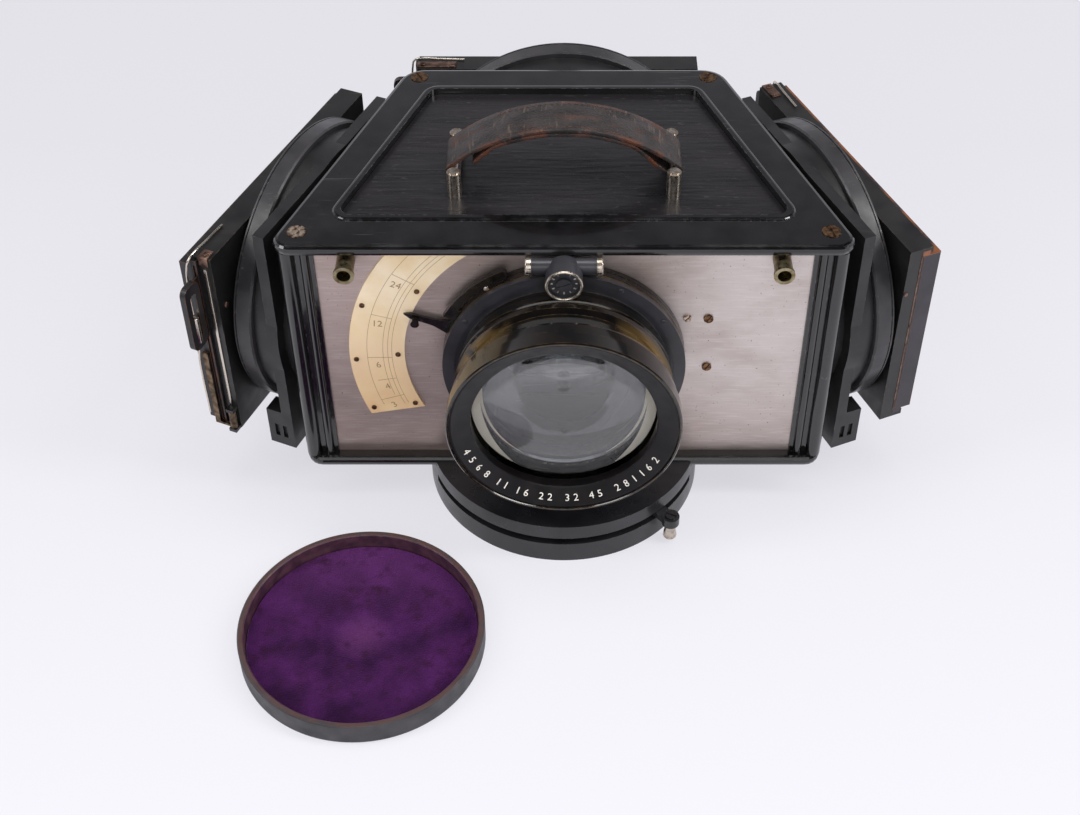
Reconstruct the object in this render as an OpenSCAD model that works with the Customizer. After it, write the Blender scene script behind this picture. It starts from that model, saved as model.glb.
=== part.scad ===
// Three-colour plate camera: one lens, two semi-silvered mirrors and three plate backs.
// Millimetres, +Z up, front towards -Y. Origin: tripod bush, on the axis of the base drum.

/* [Case] */
// Width of the top cover across its sharp front corners
case_front_w = 235.8; // [226:0.2:244]
// Width of the top cover across its sharp rear corners
case_rear_w = 138.7; // [134:0.1:144]
// Depth of the top cover from front edge to rear edge
case_depth = 126.4; // [122:0.2:130]
// Height of the whole case, from the table to the top cover
case_top_z = 142.6; // [142:0.2:150]
// Height of the underside of the base plate above the table
base_underside_z = 18.4; // [17:0.2:20]
// Thickness of the base plate and of the top cover at its edge
plate_t = 5; // [4.4:0.2:6]
// Radius of the front corners of the plates
plate_corner_r = 7; // [5:0.5:8]
// Radius of the rear corners of the plates
plate_rear_corner_r = 12; // [8:0.5:14]
// Radius of the rounded edge of the plates
plate_edge_r = 2.2; // [1:0.1:2.4]
// How far the top cover stands out over the side and rear walls
plate_overhang = 4; // [3:0.2:5]
// How far the base plate stays within the top cover at the sides and the rear
base_inset = 1.3; // [0.6:0.1:2.4]
// Thickness of the case walls
wall_t = 6; // [4:0.5:7]
// How far the front edge of the plates stands in front of the drum axis
front_reach = 21.9; // [19:0.1:24]
// Setback of the nickel front plate behind the front edge of the plates
front_setback = 5.7; // [5:0.1:6.4]
// Thickness of the nickel front plate
front_plate_t = 2; // [1:0.2:3]
// Width of one moulded corner post
post_w = 13.8; // [12:0.2:14.4]
// How far the corner posts stay within the sides of the top cover
post_inset = 2.3; // [1.6:0.1:3]

/* [Top cover] */
// Width of the frame round the sunk panel, along the sides
cover_side_frame = 17.3; // [15:0.1:20]
// Width of the frame at the front
cover_front_frame = 19.9; // [18:0.1:22]
// Width of the frame at the rear
cover_rear_frame = 17.3; // [15:0.1:20]
// Depth of the sunk panel below the top of the cover
panel_depth = 2; // [1:0.1:2.6]
// Thickness of the sunk panel
panel_t = 1.8; // [1.2:0.1:2]
// Height of the bead round the panel
bead_h = 0.9; // [0.4:0.1:1.4]
// Width of the bead round the panel
bead_w = 3; // [2:0.2:4]

/* [Handle] */
// Distance of each handle rod from the middle
handle_rod_x = 44.5; // [40:0.5:48]
// Distance from the front edge of the plates to the front handle posts
handle_front = 37.5; // [34:0.1:41]
// Spacing of the front and rear posts
handle_post_spacing = 27.3; // [25:0.1:30]
// Height of the posts above the panel
handle_post_h = 11.5; // [10:0.5:14]
// Radius of a post
handle_post_r = 2.9; // [2.2:0.1:3.2]
// Radius of the rod through a strap loop
handle_rod_r = 1.6; // [1.2:0.1:1.8]
// Width of the leather strap
strap_w = 20.5; // [17:0.5:21]
// Thickness of the leather strap
strap_t = 4; // [3:0.2:4.6]
// Rise of the arched strap above its rods
strap_rise = 20.5; // [16:0.5:26]

/* [Base drum] */
// Radius of the base drum
drum_r = 60.3; // [58:0.1:62]
// Height of the base drum in front of the case
drum_h = 21.4; // [21:0.2:23]
// Thickness of the drum wall
drum_wall = 4.3; // [3:0.1:6]
// Thickness of the drum floor
drum_floor_t = 4; // [3:0.2:6]
// Underside of the focus slot
slot_z = 10.5; // [9:0.1:11]
// Height of the focus slot
slot_h = 3.7; // [3.4:0.1:4]
// Half of the arc that the focus slot spans
slot_half_angle = 68; // [66:1:72]
// Clearance round the focus disc in its slot and on its post
disc_clearance = 0.5; // [0.4:0.05:0.6]
// Radius of the post that the focus disc turns on
disc_post_r = 14; // [12:0.5:16]
// Angle of the focus lever from +X, at rest
lever_angle = -45.8; // [-50:0.1:-42]
// Distance of the lever boss from the drum axis
lever_boss_r = 66.5; // [66:0.1:69]
// Tapped hole of the tripod bush, core radius
tripod_hole_r = 4.76; // [3.1:0.01:4.9]
// Depth of the tapped hole
tripod_hole_l = 10; // [8:0.5:12]

/* [Lens] */
// Height of the optical axis above the table
lens_z = 80.5; // [79:0.1:82]
// Radius of the shutter case
shutter_r = 50.45; // [50:0.05:51]
// Depth of the shutter case in front of the front plate
shutter_depth = 8.6; // [8.4:0.1:9.6]
// Length of the lens from the front plate to the front rim
lens_reach = 45; // [44:0.1:48]
// Outer radius of the front rim
rim_r = 47.5; // [47:0.05:48.5]
// Clear radius of the front glass
front_clear_r = 37.65; // [36:0.05:38.5]
// Radius of curvature of the front glass
front_glass_curve = 80; // [76:1:110]
// Running clearance of rings and dials
run_clearance = 0.05; // [0.02:0.01:0.08]
// Aperture radius of the fully open iris
iris_open_r = 30; // [29.4:0.1:30.4]
// Closing turn of each iris leaf at rest
iris_rest_turn = 12; // [8:1:14]

/* [Scale] */
// Gap between the aperture scale and the corner post beside it
scale_gap = 9.8; // [8:0.1:12]
// Width of the aperture scale's band
scale_w = 23; // [20:0.1:25]
// Thickness of the aperture scale
scale_t = 0.8; // [0.5:0.1:0.9]
// Polar angle of the pointer at rest
pointer_angle = 159; // [156:1:162]

/* [Plate backs] */
// Distance of the side focusing mounts behind the front edge of the top cover
side_mount_reach = 62.4; // [60:0.1:65]
// How far the side backs toe in towards the rear, against the sides of the cover, in degrees
back_toe = 2.2; // [1:0.1:2.2]
// Gap between the edge of the top cover and the standard, at the ring axis
standard_gap = 2.1; // [2:0.1:3]
// Thickness of the standard
standard_t = 5; // [4.6:0.1:6]
// Height of the side standards
standard_h = 119; // [117:0.5:120]
// Gap between the rear standard and the rear edge of the top cover, and above and below it
rear_standard_gap = 0.3; // [0.2:0.1:0.6]
// Reach of the standard from the ring axis to its front end
standard_front = 59; // [58:0.5:60]
// Reach of the standard from the ring axis to its rear end
standard_rear = 47; // [44:0.5:50]
// Outer radius of the focus ring
ring_r = 63; // [62:0.1:64]
// Width of the focus ring
ring_w = 8.4; // [7:0.1:9]
// Gap between the standard and the focus ring
ring_gap = 6.1; // [5.4:0.1:7]
// Radius of the sliding tube of a back
tube_r = 54.4; // [53:0.1:55]
// Wall of the sliding tube
tube_wall = 2; // [1.6:0.1:2.6]
// Wall of the fixed collar that the ring turns on
collar_wall = 3.4; // [2.8:0.1:4]
// Thickness of a back plate
back_t = 5.9; // [5:0.1:7]
// Length of a glass plate
glass_plate_l = 119; // [118:0.5:120]
// Height of a glass plate
glass_plate_h = 89; // [88:0.5:90]
// Frame of a plate holder above and below its glass plate
holder_margin = 1.5; // [1.3:0.1:3]
// Reach of a back plate past its glass plate at the pull end
pull_margin = 7.5; // [6.5:0.1:10]
// Reach of a back plate and its holder past the closed end of the glass plate
closed_margin = 2.3; // [2.1:0.1:4]
// Depth of a slim plate holder
holder_slim_depth = 8.2; // [7:0.1:9]
// Depth of the film pack adapter
holder_deep_depth = 8.8; // [8:0.1:12]

/* [Mirrors] */
// Distance of the meeting edge of the mirrors behind the drum axis
mirror_apex_y = 6.4; // [6:0.1:9]
// Length of one mirror along the case floor
mirror_l = 78; // [70:1:82]
// Thickness of a mirror
mirror_t = 1.5; // [1:0.1:2]

/* [Lens cap] */
// Where the loose cap lies, from the drum axis
cap_x = -83.2; // [-90:0.1:-80]
// Where the loose cap lies, in front of the drum axis
cap_front = 103.5; // [102:0.5:112]
// Outer radius of the cap
cap_r = 50.75; // [50.4:0.05:52]
// Height of the cap
cap_h = 10.9; // [9:0.1:13]
// Thickness of the cap floor
cap_floor_t = 2; // [1.5:0.1:3]
// Thickness of the velvet lining
velvet_t = 1.4; // [1:0.1:2]

/* [Hidden] */
$fn = 96;
// Smallest overlap that makes two shapes of one piece a single solid
fuse = 0.02;
// Gap between pieces that are set side by side
fit_gap = 0.1;
side_angle = atan((case_front_w - case_rear_w) / 2 / case_depth);
case_front_y = -front_reach;
case_rear_y = case_front_y + case_depth;
base_top_z = base_underside_z + plate_t;
cover_z = case_top_z - plate_t;
wall_h = cover_z - base_top_z;
panel_z = case_top_z - panel_depth;
plate_face_y = case_front_y + front_setback;
plate_radii = [plate_corner_r, plate_corner_r, plate_rear_corner_r, plate_rear_corner_r];
front_plate_w = 2 * (half_width(plate_face_y, post_inset) - post_w - fit_gap);
scale_outer_r = front_plate_w / 2 - scale_gap;
scale_inner_r = scale_outer_r - scale_w;
shell_front_y = plate_face_y + front_plate_t;
window_r = tube_r - tube_wall - 2;
// Reach of a window's bore inwards from the edge of the cover, through the wall of the case
window_reach = plate_overhang + wall_t + 4;

// Outlines

function half_width(y, inset) =
    case_front_w / 2 - (y - case_front_y) * tan(side_angle) - inset / cos(side_angle);

// Corners of the case outline, set in from the front, the sides and the rear
function case_corners(front, side, rear) =
    let (y0 = case_front_y + front, y1 = case_rear_y - rear)
    [[-half_width(y0, side), y0], [half_width(y0, side), y0],
     [half_width(y1, side), y1], [-half_width(y1, side), y1]];

function unit(v) = v / norm(v);

// One rounded corner at p, coming from a and going on to b, anticlockwise
function round_corner(a, p, b, r, steps = 6) =
    let (d1 = unit(p - a), d2 = unit(b - p), turn = acos(d1 * d2), start = atan2(-d1.x, d1.y),
         centre = p - d1 * r * tan(turn / 2) + r * [-d1.y, d1.x])
    [for (i = [0:steps]) centre + r * [cos(start + turn * i / steps), sin(start + turn * i / steps)]];

// Outline with rounded corners, of one radius or of one for each corner
function rounded(pts, r, steps = 6) =
    [for (i = [0:len(pts) - 1])
        each round_corner(pts[(i + len(pts) - 1) % len(pts)], pts[i], pts[(i + 1) % len(pts)],
                          is_list(r) ? r[i] : r, steps)];

function rectangle(x0, x1, y0, y1) = [[x0, y0], [x1, y0], [x1, y1], [x0, y1]];

function arc_points(r, a0, a1, steps = 24) =
    [for (i = [0:steps]) r * [cos(a0 + (a1 - a0) * i / steps), sin(a0 + (a1 - a0) * i / steps)]];

module case_prism(z, h, front, side, rear, r) {
    translate([0, 0, z]) linear_extrude(h) polygon(rounded(case_corners(front, side, rear), r));
}

// Case outline with rounded edges above and below
module case_slab(z, h, edge, side = 0) {
    hull() for (a = [0:30:90]) {
        inset = edge * (1 - sin(a));
        rise = edge * (1 - cos(a));
        for (level = [z + rise, z + h - rise - fuse])
            case_prism(level, fuse, inset, side + inset, side + inset, [for (r = plate_radii) r - inset]);
    }
}

// A screw head with its slot, standing on z = 0
module screw_head(r, h, slot_w = 0.8, turn = 20) {
    difference() {
        cylinder(h = h, r = r);
        rotate([0, 0, turn]) translate([-r - 1, -slot_w / 2, h - 0.45]) cube([2 * r + 2, slot_w, 1]);
    }
}

// Case

module body_shell() {
    color("#1b1b1d") difference() {
        case_prism(base_top_z, wall_h, front_setback + front_plate_t, plate_overhang,
                   plate_overhang, 2);
        case_prism(base_top_z - 1, wall_h + 2, front_setback + front_plate_t + wall_t,
                   plate_overhang + wall_t, plate_overhang + wall_t, 2);
        for (back = BACKS) on_back(back) window_bore(window_reach);
        on_lens() translate([0, 0, -front_plate_t - wall_t - 6])
            cylinder(h = wall_t + 8, r = rear_barrel_r + fit_gap);
    }
}

cover_opening = [cover_front_frame, cover_side_frame, cover_rear_frame];

module cover_window(z, h, grow, r) {
    case_prism(z, h, cover_opening[0] - grow, cover_opening[1] - grow, cover_opening[2] - grow, r);
}

ledge_w = 5;
screw_head_r = 3.8;
screw_head_h = 1.6;
// Distance of the screws from the front, side and rear edges of the top cover
case_screw_inset = [10.2, 7.8, 7.2];
// Places of the four screws of the top cover, and of those under the base plate
screw_places = case_corners(case_screw_inset[0], case_screw_inset[1], case_screw_inset[2]);

module top_cover() {
    color("#141416") difference() {
        union() {
            case_slab(cover_z, plate_t, plate_edge_r);
            bead();
        }
        cover_window(cover_z - 1, plate_t + bead_h + 2, -ledge_w, 3);
        cover_window(panel_z - panel_t, plate_t + bead_h + 2, 0, 5);
        for (p = screw_places) translate([p.x, p.y, case_top_z - screw_head_h])
            cylinder(h = screw_head_h + 2, r = screw_head_r + fit_gap);
    }
}

// Raised moulding round the sunk panel
module bead() {
    hull() for (a = [0:30:90]) {
        inset = (bead_w / 2 - 0.2) * (1 - cos(a));
        case_prism(case_top_z - fuse, bead_h * sin(a) + 2 * fuse, cover_opening[0] - bead_w + inset,
                   cover_opening[1] - bead_w + inset, cover_opening[2] - bead_w + inset, 7 - inset);
    }
}

module top_panel() {
    color("#1c1a1a") difference() {
        cover_window(panel_z - panel_t, panel_t, -fit_gap, 5 - fit_gap);
        for (p = handle_posts()) translate([p.x, p.y, panel_z - panel_t - 1])
            cylinder(h = panel_t + 2, r = handle_post_r - 1);
    }
}

module base_plate() {
    color("#141416") difference() {
        case_slab(base_underside_z, plate_t, plate_edge_r, base_inset);
        for (p = screw_places) translate([p.x, p.y, base_underside_z - 2])
            cylinder(h = screw_head_h + 2, r = screw_head_r + fit_gap);
    }
}

module front_plate() {
    color("#8f8a88") difference() {
        translate([-front_plate_w / 2, plate_face_y, base_top_z])
            cube([front_plate_w, front_plate_t, wall_h]);
        on_lens() translate([0, 0, -front_plate_t - 1])
            cylinder(h = front_plate_t + 2, r = rear_barrel_r + fit_gap);
    }
}

// Double-bead moulding at each front corner
module corner_posts() {
    flat_w = 1.6;
    flat_y = plate_face_y - 0.9;
    small_r = 1.9;
    large_r = 3.3;
    color("#101012") for (side = [-1, 1]) translate([side * (front_plate_w / 2 + fit_gap), 0, base_top_z])
        linear_extrude(wall_h) mirror([side < 0 ? 1 : 0, 0]) difference() {
            union() {
                polygon(rectangle(0, post_w - 0.8, flat_y, shell_front_y));
                translate([flat_w + small_r, flat_y]) circle(r = small_r);
                translate([post_w - large_r, flat_y + 0.3]) circle(r = large_r);
            }
            polygon(rectangle(-1, post_w + 1, shell_front_y, shell_front_y + large_r));
        }
}

front_screw_r = 2;
// Bright pin and two screws right of the lens: polar places on the front plate
front_screw_spots = [[50.6, 20.8, 1.7], [59.3, 20.5, front_screw_r], [60.1, -6.4, front_screw_r]];

module case_screws() {
    color("#7d6040") {
        for (p = screw_places) {
            translate([p.x, p.y, case_top_z - screw_head_h])
                screw_head(screw_head_r, screw_head_h + 0.3, 1, p.x);
            translate([p.x, p.y, base_underside_z + screw_head_h]) mirror([0, 0, 1])
                screw_head(screw_head_r, screw_head_h, 1, p.y);
        }
        on_lens() for (s = front_screw_spots) translate([s[0], s[1], 0]) screw_head(s[2], 0.8, 0.5, s[0]);
    }
}

// Lens and shutter. Local +Z points forward, z = 0 is the face of the front plate.

module on_lens() {
    translate([0, plate_face_y, lens_z]) rotate([90, 0, 0]) children();
}

rear_barrel_r = 38;
case_neck_r = 48;
face_t = 1.6;
ring_layer = 2.4;
ring_step = 2.7;
// Back of the wide part of the shutter case, in front of its two turning rings
case_disc_z = 2 * ring_step + 0.3;
cavity_r = 46;
face_z = shutter_depth - face_t;
cylinder_h = 54.2;
cylinder_z = 7.2;
cylinder_r = 3.4;
cylinder_len = 30.5;
dial_h = 52.2;
dial_r = 7.4;
dial_z = shutter_depth + 2.7;
dial_len = 5.7;
dial_post_r = 2;
middle_seat = [14, 20.2];
front_seat_z = 27;
front_edge_z = 36;
mid_glass_r = 31;
front_glass_r = 39.5;
rear_glass_r = 32;
rear_seat_z = -16.4;

module air_channel() {
    translate([0, cylinder_h, cylinder_z]) rotate([0, 90, 0])
        cylinder(h = cylinder_len + 10, r = cylinder_r + run_clearance, center = true);
}

module shutter_case() {
    color("#2a2725") on_lens() difference() {
        union() {
            cylinder(h = case_disc_z + fuse, r = case_neck_r);
            translate([0, 0, case_disc_z]) cylinder(h = face_z - case_disc_z, r = shutter_r);
        }
        translate([0, 0, 1.5]) cylinder(h = shutter_depth, r = cavity_r);
        translate([0, 0, -1]) cylinder(h = 4, r = 33);
        for (i = [0:leaf_count - 1]) rotate([0, 0, i * 360 / leaf_count]) translate([leaf_pivot_r, 0, 0.3])
            cylinder(h = 3, r = leaf_pin_r + run_clearance);
        air_channel();
    }
}

module shutter_face() {
    color("#232326") on_lens() {
        difference() {
            union() {
                translate([0, 0, face_z]) cylinder(h = face_t, r = shutter_r);
                translate([0, dial_h, face_z]) cylinder(h = dial_z - 0.3 - face_z, r = dial_r - 0.2);
            }
            translate([0, 0, face_z - 1]) cylinder(h = face_t + 2, r = 36);
            translate([0, 0, shutter_depth - 0.5]) difference() {
                cylinder(h = 1, r = 45.6);
                translate([0, 0, -1]) cylinder(h = 4, r = 43.2);
            }
            air_channel();
        }
        translate([0, dial_h, dial_z - 0.4]) {
            cylinder(h = dial_len - 0.8, r = dial_post_r);
            translate([0, 0, dial_len - 0.8]) screw_head(3, 0.9, 0.7);
        }
    }
}

module air_cylinder() {
    collar_r = cylinder_r + 0.5;
    collar_l = 2.6;
    color("#1c1c1e") on_lens() translate([0, cylinder_h, cylinder_z]) rotate([0, 90, 0])
        rotate_extrude() polygon([[0, -cylinder_len / 2], [cylinder_r - 0.8, -cylinder_len / 2],
            [collar_r, -cylinder_len / 2 + 0.8], [collar_r, -cylinder_len / 2 + collar_l],
            [cylinder_r, -cylinder_len / 2 + collar_l], [cylinder_r, cylinder_len / 2 - collar_l],
            [collar_r, cylinder_len / 2 - collar_l], [collar_r, cylinder_len / 2 - 0.8],
            [cylinder_r - 0.8, cylinder_len / 2], [0, cylinder_len / 2]]);
}

module speed_dial() {
    color("#111113") on_lens() translate([0, dial_h, dial_z]) difference() {
        cylinder(h = dial_len, r = dial_r);
        translate([0, 0, -1]) cylinder(h = dial_len + 2, r = dial_post_r + run_clearance);
        translate([0, 0, dial_len - 1.5]) cylinder(h = 3, r = dial_r - 1);
    }
}

// Turning ring on the neck of the shutter case
module neck_ring(z) {
    translate([0, 0, z]) difference() {
        cylinder(h = ring_layer, r = shutter_r);
        translate([0, 0, -1]) cylinder(h = ring_layer + 2, r = case_neck_r + run_clearance);
    }
}

pointer_r = scale_inner_r + 3.5;
pointer_waist_r = shutter_r + 6.5;
pointer_stud_r = pointer_r - 5.4;
pointer_z = 2 * scale_t;

module diaphragm_ring() {
    color("#202022") on_lens() {
        neck_ring(0.3);
        rotate([0, 0, pointer_angle]) translate([0, 0, pointer_z])
            linear_extrude(0.3 + ring_layer - pointer_z) polygon([[shutter_r - 1.5, -4],
                [pointer_waist_r, -1.6], [pointer_r - 3, -1.3], [pointer_r, 0], [pointer_r - 3, 1.3],
                [pointer_waist_r, 1.6], [shutter_r - 1.5, 4]]);
        rotate([0, 0, pointer_angle + 1.2]) translate([pointer_stud_r, 0, 0.3 + ring_layer - fuse])
            cylinder(h = 2.8, r1 = 1.3, r2 = 1.8);
    }
}

// Cocking lever: a ring with a long curved arm that hugs the shutter case
module cocking_lever() {
    arm_in = 52;
    arm_out = 55.6;
    root = 152;
    tip = 117;
    arm_mid = (arm_in + arm_out) / 2;
    color("#151517") on_lens() {
        neck_ring(ring_step + 0.3);
        translate([0, 0, ring_step + 0.3]) {
            linear_extrude(ring_layer) polygon(concat(arc_points(arm_out, tip, root, 16),
                arc_points(arm_in, root, tip, 16)));
            linear_extrude(ring_layer) polygon(concat(arc_points(arm_in + 0.5, root - 6, root, 4),
                arc_points(shutter_r - 1, root + 2, root - 8, 4)));
            rotate([0, 0, tip]) translate([arm_mid, 0, 0])
                cylinder(h = ring_layer, r = (arm_out - arm_in) / 2);
        }
    }
}

leaf_count = 6;
leaf_pivot_r = 44.6;
leaf_pin_r = 0.8;
leaf_t = 0.24;
leaf_step = 0.34;
leaf_outer_r = 43.2;

// One curved leaf: swung out it lies round the open aperture
module iris_leaf(i) {
    z = 1.9 + i * leaf_step;
    color("#2b2f36") on_lens() rotate([0, 0, i * 360 / leaf_count])
        translate([leaf_pivot_r, 0, 0]) rotate([0, 0, iris_rest_turn]) translate([-leaf_pivot_r, 0, 0]) {
            translate([0, 0, z]) intersection() {
                difference() {
                    cylinder(h = leaf_t, r = leaf_outer_r);
                    translate([0, 0, -1]) cylinder(h = 3, r = iris_open_r);
                }
                linear_extrude(leaf_t)
                    polygon([[0, 0], [60, -3], [60, 40], [0, 60], [-16, 55]]);
            }
            translate([leaf_pivot_r, 0, z]) cylinder(h = leaf_t, r = leaf_pin_r + 0.5);
            translate([leaf_pivot_r - 3, -0.9, z]) cube([3, 1.8, leaf_t]);
            translate([leaf_pivot_r, 0, 0.5]) cylinder(h = z - 0.4, r = leaf_pin_r);
        }
}

module barrel_front() {
    color("#1a1815") on_lens() rotate_extrude() polygon([
        [30, shutter_depth], [43, shutter_depth], [43, 12], [44.3, 12.6], [44.5, 13.2], [44.5, 16.6],
        [43.6, 17.2], [43.6, 18.2], [44.9, 18.8], [44.9, 21.2], [42.2, 22.2], [42.4, 24], [46.2, 31.4],
        [46.4, 32.4], [46.4, 37], [rim_r, 38], [rim_r, lens_reach - 0.6], [rim_r - 0.5, lens_reach],
        [rim_r - 1.1, lens_reach], [rim_r - 1.3, lens_reach - 0.4], [rim_r - 1.3, front_edge_z],
        [front_glass_r + 0.05, front_edge_z], [front_glass_r + 0.05, front_seat_z],
        [36, front_seat_z], [36, middle_seat[1]], [mid_glass_r + 0.05, middle_seat[1]],
        [mid_glass_r + 0.05, middle_seat[0]], [30, middle_seat[0]]]);
}

module barrel_rear() {
    rear_end = -19;
    glass_bore_r = rear_glass_r + 0.05;
    color("#1c1c1e") on_lens() rotate_extrude() polygon([
        [34, 0], [rear_barrel_r, 0], [rear_barrel_r, -8 - front_plate_t - wall_t], [36.6, rear_end],
        [30, rear_end], [30, rear_seat_z - 0.1], [glass_bore_r, rear_seat_z - 0.1], [glass_bore_r, -6],
        [34, -5]]);
}

// Dished ring that holds the front glass
module retaining_ring() {
    outer = rim_r - 1.3 - fit_gap;
    color("#121214") on_lens() rotate_extrude() polygon([[front_clear_r, front_edge_z],
        [outer, front_edge_z], [outer, lens_reach - 0.9], [outer - 0.8, lens_reach - 0.9],
        [front_clear_r + 0.6, 40.4], [front_clear_r, 40]]);
}

front_vertex_z = lens_reach - 1.1;

module lens_front() {
    color("#9fb4c4") on_lens() intersection() {
        translate([0, 0, front_seat_z]) cylinder(h = 30, r = front_glass_r);
        translate([0, 0, front_vertex_z - front_glass_curve]) sphere(r = front_glass_curve);
        cylinder(h = 60, r = front_glass_r + 5);
    }
}

module lens_middle() {
    mid_curve = 74;
    color("#9fb4c4") on_lens() difference() {
        translate([0, 0, middle_seat[0]]) cylinder(h = middle_seat[1] - middle_seat[0], r = mid_glass_r);
        translate([0, 0, middle_seat[1] + mid_curve - 2]) sphere(r = mid_curve);
        translate([0, 0, middle_seat[0] - mid_curve + 2]) sphere(r = mid_curve);
    }
}

module lens_rear() {
    rear_curve = 70;
    front_bulge = 13.4;
    rear_bulge = 2.6;
    color("#9fb4c4") on_lens() intersection() {
        translate([0, 0, rear_seat_z]) cylinder(h = 12, r = rear_glass_r);
        translate([0, 0, rear_seat_z + front_bulge - rear_curve]) sphere(r = rear_curve);
        translate([0, 0, rear_seat_z - rear_bulge + rear_curve]) sphere(r = rear_curve);
    }
}

// Aperture scale and sockets

module scale_plate() {
    // The arc runs up behind the lip of the top cover
    reach = cover_z - 0.4 - lens_z;
    top_out = 180 - asin(reach / scale_outer_r);
    top_in = 180 - asin(reach / scale_inner_r);
    color("#cdbb86") on_lens() linear_extrude(scale_t) polygon(concat(
        arc_points(scale_outer_r, top_out, 202, 30), arc_points(scale_inner_r, 206, top_in, 30)));
}

module scale_pins() {
    rows = [[scale_outer_r - 2.6, [161, 181, 200]], [scale_inner_r + 2.8, [149, 179, 203]]];
    color("#8a7a50") on_lens() for (row = rows, a = row[1]) rotate([0, 0, a])
        translate([row[0], 0, scale_t]) cylinder(h = scale_t - 0.3, r = 1.1);
}

socket_h = 52.6;
socket_r = 4.2;
// Clear distance between a socket and the rim of the aperture scale
socket_gap = 7.45;
socket_x = sqrt(pow(scale_outer_r + socket_gap + socket_r, 2) - pow(socket_h, 2));
socket_bore_r = 2.75;
socket_l = 11.5;
socket_bore_l = 10;

module accessory_sockets() {
    color("#b8a67c") on_lens() for (side = [-1, 1]) translate([side * socket_x, socket_h, 0]) difference() {
        union() {
            cylinder(h = socket_l, r = socket_r - 0.5);
            translate([0, 0, socket_l - 1.6]) cylinder(h = 1.6, r = socket_r);
        }
        translate([0, 0, socket_l - socket_bore_l]) cylinder(h = socket_bore_l + 1, r = socket_bore_r);
    }
}

// Base drum and focus lever

lever_t = slot_h - 2 * disc_clearance;
lever_z = slot_z + disc_clearance;
bush_r = 8;

module focus_drum() {
    mouth = slot_half_angle;
    color("#1d1d1f") difference() {
        cylinder(h = drum_h, r = drum_r);
        translate([0, 0, drum_floor_t]) difference() {
            cylinder(h = base_underside_z - 3 - drum_floor_t, r = drum_r - drum_wall);
            translate([0, 0, -1]) cylinder(h = base_underside_z, r = disc_post_r);
        }
        translate([0, 0, slot_z]) linear_extrude(slot_h)
            polygon(concat(arc_points(drum_r + 8, -90 - mouth, -90 + mouth, 32),
                arc_points(drum_r - drum_wall - 1, -90 + mouth, -90 - mouth, 32)));
        case_prism(base_underside_z, drum_h, 0, base_inset, base_inset, plate_radii);
        translate([0, 0, -1]) cylinder(h = tripod_hole_l + 3, r = bush_r);
    }
}

module tripod_bush() {
    color("#b08d4a") difference() {
        cylinder(h = tripod_hole_l + 1.5, r = bush_r);
        translate([0, 0, -1]) cylinder(h = tripod_hole_l + 1, r = tripod_hole_r);
    }
}

module focus_lever() {
    boss_r = 3.8;
    arm_w = 6;
    disc_r = drum_r - drum_wall - 1;
    color("#161618") {
        difference() {
            union() {
                translate([0, 0, lever_z]) cylinder(h = lever_t, r = disc_r);
                rotate([0, 0, lever_angle]) translate([disc_r - 4, -arm_w / 2, lever_z])
                    cube([lever_boss_r - disc_r + 4, arm_w, lever_t]);
                rotate([0, 0, lever_angle]) translate([lever_boss_r, 0, lever_z - 0.6])
                    cylinder(h = lever_t + 1.6, r = boss_r);
            }
            translate([0, 0, -1]) cylinder(h = 40, r = disc_post_r + run_clearance);
        }
        rotate([0, 0, lever_angle]) translate([lever_boss_r, 0, lever_z + lever_t + 1 - fuse])
            screw_head(2.4, 0.9);
    }
}

module lever_knob() {
    top = lever_z - 0.6;
    h = 8.2;
    color("#b9b4a6") rotate([0, 0, lever_angle]) translate([lever_boss_r, 0, top - h]) difference() {
        rotate_extrude() polygon([[0, 0], [2.7, 0], [3, 0.5], [2.2, h - 1.5], [2.2, h], [0, h]]);
        for (a = [0:30:330]) rotate([0, 0, a]) translate([3, 0, -1]) cylinder(h = h - 0.6, r = 0.35);
    }
}

// Handle

handle_y = case_front_y + handle_front;

function handle_posts() =
    [for (x = [-1, 1], y = [0, 1]) [x * handle_rod_x, handle_y + y * handle_post_spacing]];

rod_z = panel_z + handle_post_h - handle_post_r;

module handle_brackets() {
    color("#a7a29a") {
        for (p = handle_posts()) translate([p.x, p.y, panel_z]) {
            cylinder(h = handle_post_h - 0.6, r = handle_post_r);
            cylinder(h = handle_post_h, r = handle_post_r - 0.6);
            translate([0, 0, -panel_t]) cylinder(h = panel_t + fuse, r = handle_post_r - 1);
        }
        for (x = [-1, 1]) translate([x * handle_rod_x, handle_y, rod_z]) rotate([-90, 0, 0])
            cylinder(h = handle_post_spacing, r = handle_rod_r);
    }
}

// Arched strap with a loop round each rod
module handle_strap() {
    loop_r = handle_rod_r + strap_t - 1.1;
    half = handle_rod_x + loop_r - 1;
    rise = strap_rise;
    arc_r = (half * half + rise * rise) / (2 * rise);
    mid_y = handle_y + handle_post_spacing / 2;
    color("#4a2f22") translate([0, mid_y + strap_w / 2, rod_z]) rotate([90, 0, 0]) difference() {
        union() {
            intersection() {
                translate([0, rise - arc_r, 0]) difference() {
                    cylinder(h = strap_w, r = arc_r);
                    translate([0, 0, -1]) cylinder(h = strap_w + 2, r = arc_r - strap_t);
                }
                translate([-half, 0, -1]) cube([2 * half, rise + 2, strap_w + 2]);
            }
            for (x = [-1, 1]) translate([x * handle_rod_x, 0, 0]) cylinder(h = strap_w, r = loop_r);
        }
        for (x = [-1, 1]) translate([x * handle_rod_x, 0, -1])
            cylinder(h = strap_w + 2, r = handle_rod_r + 0.3);
    }
}

// Mirrors

back_angle = side_angle + back_toe;
mirror_turn = (90 - back_angle) / 2;
mirror_z0 = base_top_z + 9;
mirror_z1 = cover_z - 9;
mirror_post_r = 2;
apex_post_r = 3.2;
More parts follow.
